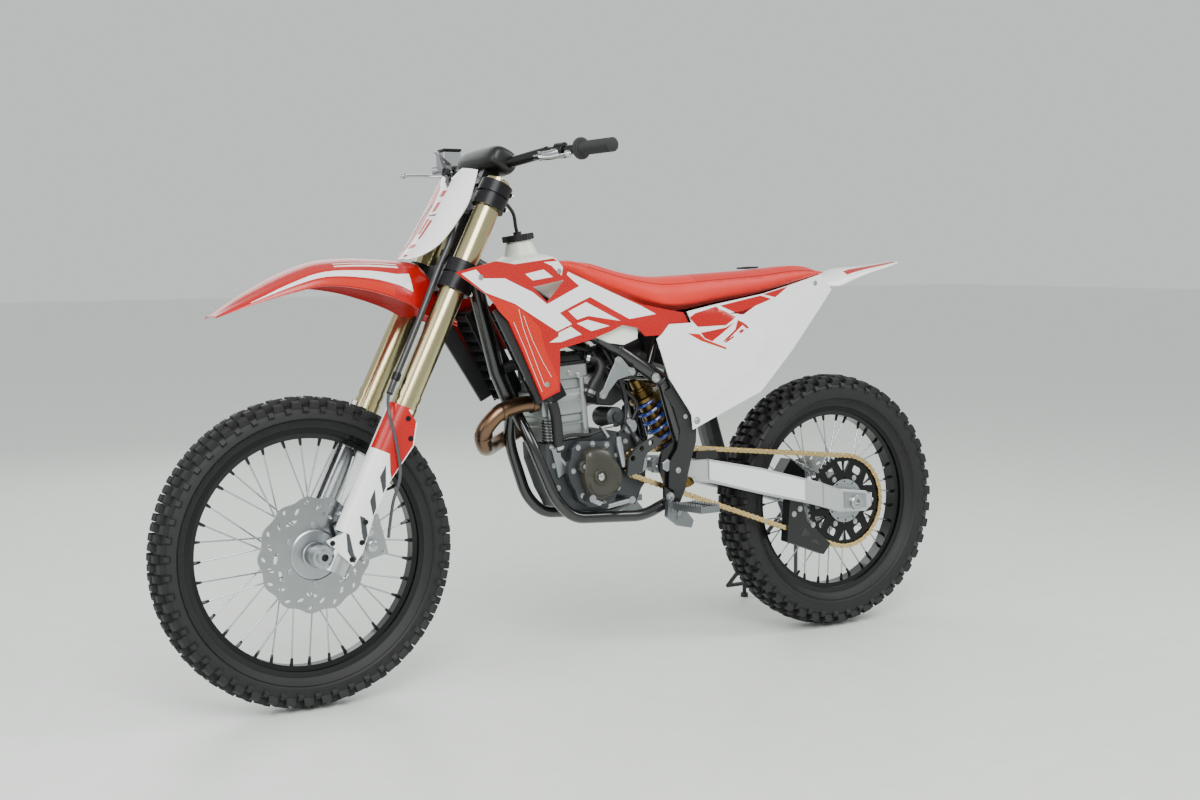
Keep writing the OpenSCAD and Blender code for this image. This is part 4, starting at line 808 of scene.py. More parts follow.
controls, black_controls = Shape(), Shape()
P0 = BAR[2] + (BAR[3] - BAR[2]) * 0.45
DIR = (BAR[3] - BAR[2]).normalized()
for side in (1, -1):
    q = Vector(mirrored(P0, side))
    d = Vector(mirrored(DIR, side))
    hand = Vector(fork(q))
    black_controls.tube([fork(q - d * 12), fork(q - d * 11), fork(q + d * 11), fork(q + d * 12)],
                        [17, 18, 18, 17], 28,
                        ref=(0.2, 0.05, 1))
    reach = [(52, -4, -15), (60, 14, -20), (63, 40, -24), (61, 72, -26), (58, 104, -25),
             (56, 124, -24)] if side == 1 else \
        [(58, -6, -10), (76, 10, -12), (94, 34, -10), (108, 64, -6), (120, 98, -3), (129, 124, -1)]
    # Perch arm forward of the bar, then the blade: flat, curved, with a ball end.
    controls.tube([hand + Vector(mirrored(p, side)) for p in ((8, 0, -4), (26, -2, -9),
        (reach[0][0], -6, reach[0][2]))],
                  [12, 9.5, 10], 16, ref=(0, 0.2, 1))
    blade = curve_through([hand + Vector(mirrored(p, side)) for p in reach])
    rings = []
    for k, p in enumerate(blade):
        w = 6.5 - 2.2 * k / len(blade)
        h = 5.4 - 1.4 * k / len(blade)
        rings.append([p + Vector((w * math.cos(a), 0,
                                  h * math.sin(a))) for a in (2 * math.pi * j / 14 for j in range(14))])
    controls.rings(rings)
    ball = hand + Vector(mirrored((reach[-1][0], reach[-1][1] + 4, reach[-1][2]), side))
    controls.turned(ball, [(8.4 * math.sin(a), 8.4 * math.cos(a)) for a in
                           (math.pi * j / 10 for j in range(11))], steps=16, closed=False)
    pivot = hand + Vector(mirrored((reach[0][0], -5, reach[0][2] + 6), side))
    controls.bolt(pivot, (0.1, 0, 1), 5, 6, 6)
    black_controls.tube([hand + Vector(mirrored(p, side)) for p in
                         ((reach[0][0] - 4, -12, reach[0][2]), (reach[0][0] - 6, -40, reach[0][2] + 2),
                          (reach[0][0] - 14, -58, reach[0][2] + 6))], [6.5, 6.5, 4.5], 12, ref=(0, 0, 1))
controls.made("levers_and_perches", lever_alloy, "steering", stands_for=["hand_controls"], slot="bare_alloy")
black_controls.made("perch_clamps", clamp_black, "steering", slot="black_plastic")
hand = Vector(fork(mirrored(P0, -1)))
reservoir, lid = Shape(), Shape()
reservoir.rings([[hand + Vector((x * g + 64, y * g, z)) for x,
                  y in ((-24, -17), (24, -17), (24, 30), (-24, 30))]
                 for z, g in ((0, 0.72), (8, 1), (46, 1))])
reservoir.tube([hand + Vector((40, -4, 8)), hand + Vector((88, -40, 4))], 11, 18, ref=(0, 0, 1))
reservoir.made("brake_reservoir", hub_alloy, "steering", bevel=3, slot="bare_alloy")
lid.rings([[hand + Vector((x + 64, y, z)) for x,
            y in ((-25.5, -18.5), (25.5, -18.5), (25.5, 31.5), (-25.5, 31.5))]
           for z in (46, 53)])
lid.made("brake_reservoir_lid", clamp_black, "steering", bevel=2, slot="black_plastic")
bar_bits = Shape()
for side in (1, -1):
    for x in (-54, -26):
        bar_bits.bolt(fork((x, side * 36, 1006)), Vector(fork((0, 0, 1))) - Vector(fork((0, 0, 0))), 4.5, 5,
                      6)
bar_bits.made("bar_clamp_bolts", bolt_zinc, "steering", slot="steel")
stem_nut = Shape().tube([fork((-62, 0, 943)), fork((-62, 0, 951)), fork((-62, 0, 953))], [20, 20, 17], 32)
stem_nut.made("stem_nut", hub_alloy, "steering", slot="bare_alloy")

# ---------------------------------------------------------------------------------------------
# Bodywork: moulded polypropylene shrouds, side panels and tail, screwed to the tank and the
# subframe, with printed vinyl graphics on them, round a translucent polyethylene tank.
SHROUD_PLAN = [(500, 120), (620, 121), (700, 124), (850, 136), (1000, 166), (1100, 190), (1230, 211)]
SHROUD = [(1184, 960), (1075, 985), (1020, 978), (905, 992), (872, 968), (742, 914), (648, 880), (566, 864),
          (530, 858),
          (512, 826), (578, 824), (592, 804), (646, 803), (668, 824), (712, 832), (746, 818), (802, 800),
          (896, 780),
          (900, 682), (952, 664), (1006, 777), (1050, 859), (1105, 909)]
SHROUD_WINDOW = [(970, 926), (874, 943), (928, 890)]
SHROUD_CREASE = [(1128, 924), (1000, 866), (905, 823), (812, 855), (690, 836), (600, 818)]
PANEL_PLAN = [(20, 93), (80, 103), (190, 118), (290, 127), (430, 128), (540, 124.4), (640, 125.2)]
PANEL_TOP = [(524, 860), (431, 877), (287, 900), (190, 922), (81, 948), (42, 907)]
PANEL_FRONT = [(614, 795), (600, 806), (578, 830), (512, 832)]
PLATEAU = [(609, 785), (600, 870), (425, 866), (264, 795), (317, 697), (503, 607), (574, 692)]


def level(table, x):
    """Value of a table of (x, value) at x, between its rows."""
    if x <= table[0][0]:
        return table[0][1]
    for (x0, v0), (x1, v1) in zip(table, table[1:]):
        if x <= x1:
            return v0 + (v1 - v0) * (x - x0) / (x1 - x0)
    return table[-1][1]


def away(points, x, z):
    """Distance of a point from a line of points."""
    best = 1e9
    for (x0, z0), (x1, z1) in zip(points, points[1:]):
        dx, dz = x1 - x0, z1 - z0
        f = min(1.0, max(0.0, ((x - x0) * dx + (z - z0) * dz) / (dx * dx + dz * dz)))
        best = min(best, math.hypot(x - x0 - f * dx, z - z0 - f * dz))
    return best


def shroud_depth(x, z):
    """Outer face of a shroud, with the moulded ridge that runs along it."""
    return level(SHROUD_PLAN, x) + 3.5 * max(0.0, 1 - away(SHROUD_CREASE, x, z) / 42) ** 1.3


def panel_depth(x, z):
    """Outer face of a side panel, with its raised field."""
    inner = 1e9
    for (x0, z0), (x1, z1) in zip(PLATEAU, PLATEAU[1:] + PLATEAU[:1]):
        inner = min(inner, ((x - x0) * (z1 - z0) - (z - z0) * (x1 - x0)) / math.hypot(x1 - x0, z1 - z0) * -1)
    return level(PANEL_PLAN, x) + 4.0 * min(1.0, max(0.0, inner / 11))


for side, label in ((1, "left"), (-1, "right")):
    decal("shroud_" + label, SHROUD, red_gloss, "frame", shroud_depth, lift=0, thick=4, step=13, side=side,
          holes=[SHROUD_WINDOW], stands_for=["shrouds"] if side == 1 else [])
    if side == 1:
        outline = [(515, 567), (517, 605), (580, 696)] + PANEL_FRONT + PANEL_TOP + [(196, 751), (305, 651),
            (401, 614)]
    else:
        outline = [(548, 718), (584, 706)] + PANEL_FRONT + PANEL_TOP + [(110, 880), (480, 765)]
    decal("side_panel_" + label, outline, white_gloss, "frame", panel_depth, lift=0, thick=3.5, step=11,
          side=side,
          stands_for=["side_panels"] if side == 1 else [])

shroud_prints = {
    "band": (decal_white, [(1170, 957), (1131, 966), (1111, 946), (1051, 946), (971, 914), (930, 886),
                           (832, 927),
                           (868, 954), (864, 961), (655, 877), (612, 856), (691, 846), (803, 901),
                           (894, 865), (860, 838),
                           (905, 822), (1025, 888), (1109, 914)]),
    "lower_bar": (decal_white, [(900, 819), (863, 832), (831, 813), (893, 797), (927, 797), (901, 810)]),
    "inner_bar": (decal_white, [(867, 868), (815, 889), (718, 842), (812, 856), (843, 848)]),
    "lower_block": (decal_white, [(845, 839), (814, 847), (750, 831), (802, 820)]),
    "square": (decal_white, [(991, 956), (937, 966), (910, 949), (970, 941)]),
    "seat_corner": (decal_white, [(936, 983), (893, 986), (879, 971), (884, 952), (892, 957), (913, 975)]),
    "orange_leg": (decal_orange, [(1099, 908), (1011, 880), (955, 832), (938, 777), (905, 714), (905, 688),
                                  (947, 670),
                                  (958, 676), (1028, 834), (1072, 872)]),
}
hairlines = [[(1016, 876), (1003, 833), (966, 744), (946, 698)],
             [(1002, 861), (978, 806), (946, 748), (924, 716)],
             [(1030, 846), (1000, 786), (972, 722), (954, 684)]]
for side, label in ((1, "left"), (-1, "right")):
    for name, (mat, outline) in shroud_prints.items():
        decal("shroud_%s_%s" % (name, label), outline, mat, "frame", shroud_depth,
              lift=0.3 if name == "orange_leg" else 0.5,
              thick=0.25, side=side, step=13)
    for k, line in enumerate(hairlines):
        outline = [(x + 0.5, z) for x, z in line] + [(x - 0.5, z) for x, z in line[::-1]]
        decal("shroud_hairline_%s_%d" % (label, k), outline, decal_white, "frame", shroud_depth, lift=0.6,
              thick=0.2,
              side=side, step=13)

panel_prints = {
    "front": (decal_red, [(519, 844), (502, 855), (438, 870), (378, 843), (411, 823), (495, 821)]),
    "middle": (decal_red, [(425, 872), (299, 895), (262, 886), (314, 870), (354, 848), (366, 849)]),
    "rear": (decal_red, [(290, 898), (204, 917), (248, 890)]),
    "wedge": (decal_red, [(487, 806), (412, 817), (384, 829), (427, 801), (454, 784), (475, 792)]),
    "hook": (decal_red, [(374, 835), (355, 828), (340, 815), (347, 812), (360, 822), (406, 787), (424, 781),
                         (383, 811)]),
    "dot": (decal_red, [(372, 805), (362, 812), (355, 808), (366, 801)]),
    "dash": (decal_red, [(417, 781), (389, 796), (388, 792), (412, 779)]),
    "flash": (decal_orange, [(525, 806), (491, 803), (476, 790), (413, 767), (412, 762), (486, 786)]),
    "slash": (decal_black, [(404, 852), (356, 857), (326, 866), (352, 850)]),
}
for side, label in ((1, "left"), (-1, "right")):
    for name, (mat, outline) in panel_prints.items():
        decal("panel_%s_%s" % (name, label), outline, mat, "frame", panel_depth, lift=0.5, thick=0.25,
              side=side,
              step=11)
plastic_bolts = Shape()
for side in (1, -1):
    for x, z in ((940, 700), (892, 962), (1120, 948)):
        plastic_bolts.bolt((x, side * (shroud_depth(x, z) + 0.6), z), (0, side, 0), 4.5, 2.5, 20, washer=6.5)
plastic_bolts.bolt((503, panel_depth(503, 589) + 0.2, 589), (0, 1, 0), 6, 4, 20, washer=9)
plastic_bolts.bolt((503, panel_depth(503, 589) + 4, 589), (0, 1, 0), 3, 0.8, 6)
for side in (1, -1):
    plastic_bolts.bolt((105, side * (panel_depth(105, 925) + 0.2), 925), (0, side, 0), 4.5, 2.5, 20,
                       washer=6.5)
plastic_bolts.made("bodywork_bolts", bolt_zinc, "frame", slot="steel")

# Tail: white shell that carries the end of the seat, with a red stripe printed along its top.
TAIL = [(-250, 984, 30, 4), (-190, 978, 42, 12), (-121, 972, 56, 20), (-50, 967, 70, 34), (0, 955, 78, 36),
        (60, 947.6, 72, 30), (140, 926, 60, 20)]


def tail_point(s, t, lift=0.0):
    x, z, w, drop = along(TAIL, s)
    ang = math.radians(90 * t)
    return Vector((x, (w + lift) * math.sin(ang),
                   z - 1.8 - drop * (1 - math.cos(ang)) + lift * math.cos(ang)))


strip("tail_shell", tail_point, [(i, -1, 1) for i in range(7)], white_gloss, "frame", 0.0, across=24,
      thick=3.2,
      stands_for=["rear_fender"], steps=6)
for side, label in ((1, "left"), (-1, "right")):
    strip("tail_stripe_" + label, tail_point,
          [(0.15, side * 0.30, side * 0.62), (1.5, side * 0.36, side * 0.62),
          (3.2, side * 0.44, side * 0.66)], decal_red, "frame", 1.9)

# Blow-moulded natural polyethylene: milky, slightly translucent, satin.
tank_plastic = finish("translucent_polyethylene", "E8EEE0", 0.34, tint="EEF2E8", grain=5.0, relief=0.03,
                      glow=0.25)
paint_node("fuel_tank", tank_plastic, 2.5)
moulded_black = finish("moulded_black_nylon", "121214", 0.42, tint="1A1A1D", grain=0.7, relief=0.05)
paint_node("fuel_cap", moulded_black, 1.0)
paint_node("mud_flap", moulded_black, 0.8)
cap_ribs = Shape()
cap_up = Vector((math.sin(math.radians(8)), 0, math.cos(math.radians(8))))
cap_foot = Vector((912, 0, 990)) + cap_up * 52.5
for k in range(30):
    a = 2 * math.pi * k / 30
    out = Vector((math.cos(a) * math.cos(math.radians(8)), math.sin(a),
                  -math.cos(a) * math.sin(math.radians(8))))
    cap_ribs.tube([cap_foot + out * 37 + cap_up * 1, cap_foot + out * 37 + cap_up * 14], [1.6, 1.6], 6,
                  ref=tuple(out))
cap_ribs.made("fuel_cap_ribs", moulded_black, "frame", slot="black_plastic")

# Vent hose from the cap, up to a clip on the steering stem.
vent_rubber = finish("black_vent_hose", "131315", 0.45, tint="1B1B1D", grain=1.2, relief=0.04)
vent_path = [cap_foot + cap_up * 14, cap_foot + cap_up * 34 + Vector((3, 3, 0)), Vector((938, 12, 1108)),
             Vector((966, 16, 1136)),
             Vector((1000, 16, 1150)), Vector(fork((-62, 14, 951)))]
vent = Shape().tube(curve_through(vent_path, 8), 4.2, 14, ref=(0, 1, 0.1))
verts, faces = vent.verts, vent.faces
mesh = bpy.data.meshes.new("vent_hose")
mesh.from_pydata([at(v) for v in verts], [], faces)
mesh.shade_smooth()
mesh.materials.append(vent_rubber)
vent_hose = bpy.data.objects.new("vent_hose", mesh)
bpy.context.collection.objects.link(vent_hose)
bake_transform(vent_hose)

# ---------------------------------------------------------------------------------------------
# Seat: one long block of foam under a red vinyl cover with an embossed gripping field on top,
# stapled under a plastic base.
SEAT = [(846, 988, 998, 44), (794, 960, 997, 70), (752, 932, 986, 90), (690, 905, 966, 104),
        (627, 882, 953, 111),
        (571, 868, 948, 112), (500, 868, 950, 110), (415, 881, 954, 103), (259, 904, 962, 88),
        (121, 934, 972, 70),
        (48, 951, 966, 54), (8, 958, 963, 38)]


def emboss(mat, pitch, depth, kind="F1"):
    """Adds a moulded pattern of cells of a size in mm on top of a finish's own relief."""
    tree = mat.node_tree
    skin = next(n for n in tree.nodes if n.type == "BSDF_PRINCIPLED")
    first = skin.inputs["Normal"].links[0].from_socket
    where = next(n for n in tree.nodes if n.type == "TEX_COORD").outputs["Object"]
    cells = node(mat, "ShaderNodeTexVoronoi", {"Vector": where, "Scale": 1000 / pitch}, feature=kind)
    relief = node(mat, "ShaderNodeBump", {"Height": cells.outputs["Distance"], "Strength": 0.9,
                                          "Distance": depth / 1000,
                                          "Normal": first})
    tree.links.new(relief.outputs["Normal"], skin.inputs["Normal"])
    return mat


# Coated vinyl: bright orange red, matt, with a fine leather grain; the gripping field has bigger cells.
seat_vinyl = emboss(finish("grained_seat_vinyl", "E01C04", 0.5, tint="D81802", grain=1.4, relief=0.06,
                           vary=0.08,
                           sheen=0.1), 1.6, 0.12)
seat_grip = emboss(finish("gripping_seat_vinyl", "D01602", 0.58, tint="C61402", grain=1.2, relief=0.08,
                          vary=0.08,
                          sheen=0.1), 9.0, 0.9)


def seat_ring(s, shrink=0.0, count=36):
    x, under, top, w = along(SEAT, s)
    middle = under + 0.28 * (top - under)
    points = []
    for k in range(count):
        a = 2 * math.pi * k / count
        c, h = math.cos(a), math.sin(a)
        y = (w - 1.5 - shrink) * math.copysign(abs(c) ** (0.62 if h > 0 else 0.35), c)
        z = middle + (top + 1 - shrink - middle) * abs(h) ** 0.8 if h > 0 else middle - (middle - under - 1) * abs(h) ** 0.35
        points.append(Vector((x, y, z)))
    return points


stations = [0.06 + k * 10.86 / 54 for k in range(55)]
cover = Shape()
cover.rings([seat_ring(s, shrink=2.0) for s in stations])
seat = cover.made("seat_cover", seat_vinyl, "frame", stands_for=["seat"], slot="seat_cover", subdivide=0)
mesher = seat.modifiers.new("even_mesh", "REMESH")
mesher.mode = "VOXEL"
mesher.voxel_size = 0.006
bpy.context.view_layer.objects.active = seat
bpy.ops.object.select_all(action="DESELECT")
seat.select_set(True)
bpy.ops.object.modifier_apply(modifier="even_mesh")
before = [v.co.copy() for v in seat.data.vertices]
cloth = seat.modifiers.new("foam", "CLOTH")
cloth.settings.use_pressure = True
cloth.settings.uniform_pressure_force = 4
cloth.settings.effector_weights.gravity = 0
cloth.point_cache.frame_start, cloth.point_cache.frame_end = 1, 20
for f in range(1, 21):
    bpy.context.scene.frame_set(f)
bpy.ops.object.modifier_apply(modifier="foam")
bpy.context.scene.frame_set(1)
for v, old in zip(seat.data.vertices, before):
    move = v.co - old
    if move.length > 0.004:
        move *= 0.004 / move.length
    v.co = old + move
smoother = seat.modifiers.new("smooth", "SUBSURF")
smoother.levels = smoother.render_levels = 1
seat.data.materials.append(seat_grip)
seat.data.shade_smooth()
UNLEAN = LEANED.inverted()


def bike(p):
    """A point of the model, in metres, as a point of the upright bike in mm."""
    return UNLEAN @ (Vector(p) * 1000 - SHIFT)


for face in seat.data.polygons:
    c = bike(face.center)
    if 60 < c.x < 470 and (UNLEAN @ face.normal).z > 0.55 and abs(c.y) < 0.86 * level([(r[0],
        r[3]) for r in SEAT[::-1]], c.x):
        face.material_index = 1

# Sewn seams where the sides of the cover meet its top, laid on the finished surface; the thread is a darker red than
# the cover, which paints the shade along the seam line.
seam_thread_and_shade = finish("bonded_thread", "A81C10", 0.7, tint="9A170D", grain=0.6, relief=0.1)
seams = Shape()
for side in (1, -1):
    run = []
    for k in range(8, 50):
        ring = seat_ring(stations[k])
        ok, spot, normal, index = seat.closest_point_on_mesh(at(ring[4 if side == 1 else 14]))
        run.append(bike(spot))
    seams.tube(run, 1.3, 8, ref=(0, 0.2, 1))
seams.made("seat_seams", seam_thread_and_shade, "frame", slot="seat_cover")
tab = Shape()
tab.rings([[(x, y, along(SEAT, 8.62)[2] + 1.5 + h) for x,
            y in ((225, -24), (262, -24), (262, 24), (225, 24))] for h in (-2, 2.5)])
tab.made("seat_loop", moulded_black, "frame", bevel=1.2, slot="black_plastic")

# ---------------------------------------------------------------------------------------------
# Frame: steel tubes and forged plates, welded and coated in gloss black, with textured nylon
# guards strapped over the tubes where the boots rub.
frame_paint = finish("gloss_black_coating", "0E0E10", 0.2, tint="141417", grain=3.5, relief=0.02, coat=0.6)
guard_nylon = emboss(finish("textured_black_nylon", "19191B", 0.6, tint="232325", grain=0.8, relief=0.06),
                     2.6, 0.5)
for name in ("frame_spars", "subframe"):
    paint_node(name, frame_paint, 0.8)


def bent(points, radius, steps=7):
    """A line with its corners turned to bends of a real tube."""
    points = [Vector(p) for p in points]
    out = [points[0]]
    for a, b, c in zip(points, points[1:], points[2:]):
        r = min(radius, (a - b).length * 0.46, (c - b).length * 0.46)
        u, w = (a - b).normalized(), (c - b).normalized()
        out += [b + u * r * (1 - k / steps) ** 2 + w * r * (k / steps) ** 2 for k in range(steps + 1)]
    return out + [points[-1]]


cradle = Shape()
cradle.tube([fork((-62, 0, 806)), (990, 0, 730), (952, 0, 640), (950, 0, 622)], 19, 40, ref=(0, 1, 0))
for side in (1, -1):
    cradle.tube(bent([mirrored(p, side) for p in ((952, 4, 646), (936, 60, 562), (884, 76, 420),
        (838, 78, 372), (640, 80, 360),
                                                  (575, 79.6, 385))], 62), 14, 32, ref=(0.1, 1, 0))
cradle.made("cradle_tubes", frame_paint, "frame", stands_for=["frame_cradle"], slot="frame_paint", sharp=50)
paint_node("frame_guards", guard_nylon, 1.6)
frame_bolts = Shape()
for side in (1, -1):
    frame_bolts.bolt((556, side * 114, 468), (0, side, 0), 5, 3, 20, washer=7.5)
    frame_bolts.bolt((530, side * 114, 600), (0, side, 0), 4, 2.5, 20, washer=6)
    for x, z in ((585, 482), (606, 700), (536, 552), (575, 402)):
        frame_bolts.bolt((x, side * 103, z), (0, side, 0), 8.5, 7, 6, washer=12)
frame_bolts.made("frame_bolts", bolt_zinc, "frame", slot="steel")

# Weld beads: rings of small ripples where the tubes meet the head and the plates.
weld = finish("coated_weld", "111113", 0.3, tint="19191C", grain=1.4, relief=0.25, coat=0.4)
beads = Shape()
for a, b, r in (((1066, 34, 992), (741, 80, 797), 18.6), ((741, 80, 797), (574, 86, 690), 18.4),
                ((952, 0, 640), (1000, 0, 760), 19.6)):
    for side in ((1, -1) if a[1] else (1,)):
        p, q = Vector(mirrored(a, side)), Vector(mirrored(b, side))
        d = (q - p).normalized()
        for f in (0.24, 0.96) if a[1] else (0.06,):
            m = p + (q - p) * f
            beads.tube([m - d * 3.5, m - d * 1.5, m + d * 1.5, m + d * 3.5],
                       [r - 0.6, r + 1.2, r + 1.2, r - 0.6], 40,
                       ref=(0.1, 0.1, 1))
beads.made("weld_beads", weld, "frame", slot="frame_paint")

# ---------------------------------------------------------------------------------------------
# Engine: sand-cast crankcase with machined joints, a plated cylinder and head held down by long
# studs, a black cam cover, and a painted ignition cover with two screwed plugs.
case_alloy = finish("sand_cast_alloy", "55585B", 0.46, metallic=0.75, tint="44474A", grain=1.3, relief=0.12,
                    vary=0.1)
cylinder_alloy = finish("shot_blasted_alloy", "A9ADAC", 0.4, metallic=0.85, tint="959A99", grain=1.1,
                        relief=0.06, vary=0.1)
cover_paint = finish("bronze_grey_paint", "37352F", 0.36, metallic=0.35, tint="413F36", grain=2.0,
                     relief=0.04, coat=0.2)
paint_node("engine_case", case_alloy, 3.0)
paint_node("sprocket_cover", emboss(finish("ribbed_dark_nylon", "2A2B2D", 0.55, tint="333436", grain=0.9),
                                    2.2, 0.2), 1.2)
TILT = math.radians(4)


def tower(base, levels, corner=9, steps=5):
    """Rings of rounded rectangles above a base point, tilted as the cylinder is: (height, half x, half y)."""
    b = Vector(base)
    rings = []
    for z, hx, hy in levels:
        ring = []
        for cx, cy, start in ((hx, hy, 0), (-hx, hy, 90), (-hx, -hy, 180), (hx, -hy, 270)):
            for k in range(steps):
                a = math.radians(start + 90 * k / (steps - 1))
                x = cx - math.copysign(corner, cx) + corner * math.cos(a)
                y = cy - math.copysign(corner, cy) + corner * math.sin(a)
                ring.append(b + Vector((x * math.cos(TILT) + z * math.sin(TILT), y,
                                        -x * math.sin(TILT) + z * math.cos(TILT))))
        rings.append(ring)
    return rings


barrel = Shape()
barrel.rings(tower((835, 0, 558), [(1, 55, 53), (4, 57, 55), (38, 57, 55), (40, 55.5, 53.5), (43, 57, 55),
                                   (60, 57.5, 55.5),
                                   (64, 62, 60), (74, 63.5, 61.5), (108, 63.5, 61.5), (112, 62, 60),
                                   (116, 63.5, 61.5),
                                   (122, 63, 61), (126, 57.5, 55.5), (147, 57, 55)]))
barrel.rings(tower((838, 0, 706), [(0, 62, 60), (3, 66, 62), (30, 66, 62), (33, 64, 60.5)]))
for side in (1, -1):
    for x in (-52, 40):
        foot = Vector((835 + x, side * 56, 562 - x * math.sin(TILT)))
        top = foot + Vector((math.sin(TILT), 0, math.cos(TILT))) * 150
        barrel.tube([foot, foot + (top - foot) * 0.05, foot + (top - foot) * 0.93, top], [7.5, 9, 9, 7], 18,
                    ref=(1, 0.1, 0))
    for z in (600, 655):
        barrel.rings([[(790 + x, side * y, z + h) for x,
                       h in ((0, 0), (88, -6), (88, -3), (0, 3))] for y in (54, 63)])
barrel.made("cylinder_and_head", cylinder_alloy, "frame", bevel=0.8, stands_for=["cylinder"],
            slot="bare_alloy", sharp=40)
cam_cover = Shape()
cam_cover.rings(tower((840, 0, 740), [(0, 66, 61), (6, 66, 61), (8, 62, 58), (22, 58, 54), (28, 48, 46)],
                      corner=14))
for y in (-30, 30):
    cam_cover.rings([[(785, y + w, 764), (892, y + w, 757), (892, y + w * 0.6, 768),
                      (785, y + w * 0.6, 774)] for w in (-8, 8)])
cam_cover.tube([(838, 0, 762), (840, 0, 786)], [18, 15], 28, ref=(1, 0.1, 0))
cam_cover.made("cam_cover", moulded_black, "frame", bevel=1.2, slot="black_plastic", sharp=40)

# Smooth painted cover over the generator, with its plugs, and the two covers of the right side.
IGNITION = [(821, 472), (816, 505), (810, 532), (788, 541), (759, 539), (741, 528), (733, 512), (717, 492),
            (708, 470),
            (712, 446), (726, 428), (748, 415), (772, 410), (795, 418), (811, 440)]
outline = [(p.x, p.z) for p in curve_through([(x, 0, z) for x, z in IGNITION + IGNITION[:1]], 4)][:-1]
ignition = Shape()
ignition.rings([[(768 + (x - 768) * g, y, 474 + (z - 474) * g) for x, z in outline]
                for y, g in ((84.6, 1.0), (98, 0.985), (106, 0.93), (111, 0.82), (114, 0.6), (115, 0.3))])
for x, z, r, y in ((813, 495, 16, 92), (779, 469, 19, 108)):
    ignition.turned((x, y, z), [(0.5, 0), (r, 0), (r, 10), (r - 2, 12), (r - 5, 12), (r - 5.5, 9),
                                (0.5, 9)], steps=40, closed=False)
for k in range(3):
    ignition.tube([(724 + 10 * k, 104 + 2 * k, 452 - 6 * k), (748 + 9 * k, 108, 424 + 2 * k)], [3, 2], 8,
                  ref=(0, 1, 0.1))
ignition.made("ignition_cover", cover_paint, "frame", stands_for=["engine_covers"], slot="cover_bronze",
              sharp=44)
right = Shape()
right.turned((700, 0, 450), [(0.5, -112), (38, -112), (46, -109), (50, -102), (50, -86.4), (0.5, -86.4)],
             steps=60, closed=False)
right.turned((790, 0, 470), [(0.5, -104), (32, -104), (40, -101), (44, -94), (44, -70.4), (0.5, -70.4)],
             steps=60, closed=False)
right.made("clutch_and_pump_covers", cover_paint, "frame", slot="cover_bronze", sharp=40)
flange = [(704, 528), (704, 440), (724, 404), (742, 394), (790, 394), (824, 414), (846, 480), (838, 540),
          (812, 556), (730, 552)]
casing = Shape()
casing.slab(flange, 57, 84.4)
casing.made("crankcase_side", case_alloy, "frame", bevel=3, slot="engine_alloy")
engine_bolts = Shape()
for x, z in ((822, 541), (837, 486), (814, 424), (755, 401), (714, 436), (714, 516), (742, 543), (782, 548)):
    engine_bolts.bolt((x, 84.4, z), (0, 1, 0), 5, 5, 6, washer=7)
for x, z in ((874, 500), (866, 445), (845, 396), (672, 545), (640, 548), (660, 400), (880, 545)):
    engine_bolts.bolt((x, 58, z), (0, 1, 0), 5, 5, 6, washer=7)
for k in range(8):
    a = 2 * math.pi * k / 8
    engine_bolts.bolt((700 + 45 * math.cos(a), -108, 450 + 45 * math.sin(a)), (0, -1, 0), 4.5, 5, 6)
for x, z, y in ((824, 722, 62.5), (800, 716, 62.5), (862, 718, 62.5)):
    engine_bolts.bolt((x, y, z), (0, 1, 0), 6, 5, 20, washer=9)
    engine_bolts.bolt((x, -y, z), (0, -1, 0), 6, 5, 20, washer=9)
engine_bolts.bolt((779, 117, 469), (0, 1, 0), 9, 2.5, 6)
engine_bolts.bolt((813, 101, 495), (0, 1, 0), 7, 2.5, 6)
engine_bolts.made("engine_bolts", bolt_zinc, "frame", slot="steel")

# Silver parts in front of the case: hanger plate, starter, sensor and clutch arm.
bright = Shape()
hanger = [(721, 752), (712, 757), (702, 752), (682, 729), (668, 726), (665, 716), (672, 709), (684, 708),
          (716, 700), (742, 672),
          (749, 660), (758, 655), (768, 660), (767, 671), (757, 680), (738, 716), (724, 740)]
bright.slab(hanger, 98.5, 104)
bright.tube([(713, 92, 561), (712, 92, 548), (711, 92, 540), (704, 92, 498), (703, 92, 486)],
            [8, 8, 10, 8.5, 6], 20, ref=(1, 0.1, 0))
bright.tube([(657, 44, 582), (657, 58, 582), (657, 61, 582)], [21, 21, 18], 36, ref=(1, 0.1, 0))
bright.tube([(728, 90, 590), (760, 92, 586), (742, 92, 562)], [6, 8, 6], 12, ref=(0, 1, 0))
bright.tube([(870, 60, 530), (848, 62, 505), (836, 64, 486)], [5, 6, 5], 12, ref=(0, 1, 0))
bright.slab([(884, 540), (862, 544), (858, 520), (846, 500), (850, 480), (868, 470), (874, 500)], 58, 66)
bright.made("engine_silver_parts", hub_alloy, "frame", bevel=1.0, slot="bare_alloy", sharp=38)
hanger_bolts = Shape()
for x, z in ((711, 747), (674, 717), (758, 664)):
    hanger_bolts.bolt((x, 104, z), (0, 1, 0), 6, 6, 6, washer=8.5)
hanger_bolts.bolt((657, 61, 582), (0, 1, 0), 4, 3, 20)
hanger_bolts.made("hanger_bolts", bolt_zinc, "frame", slot="steel")

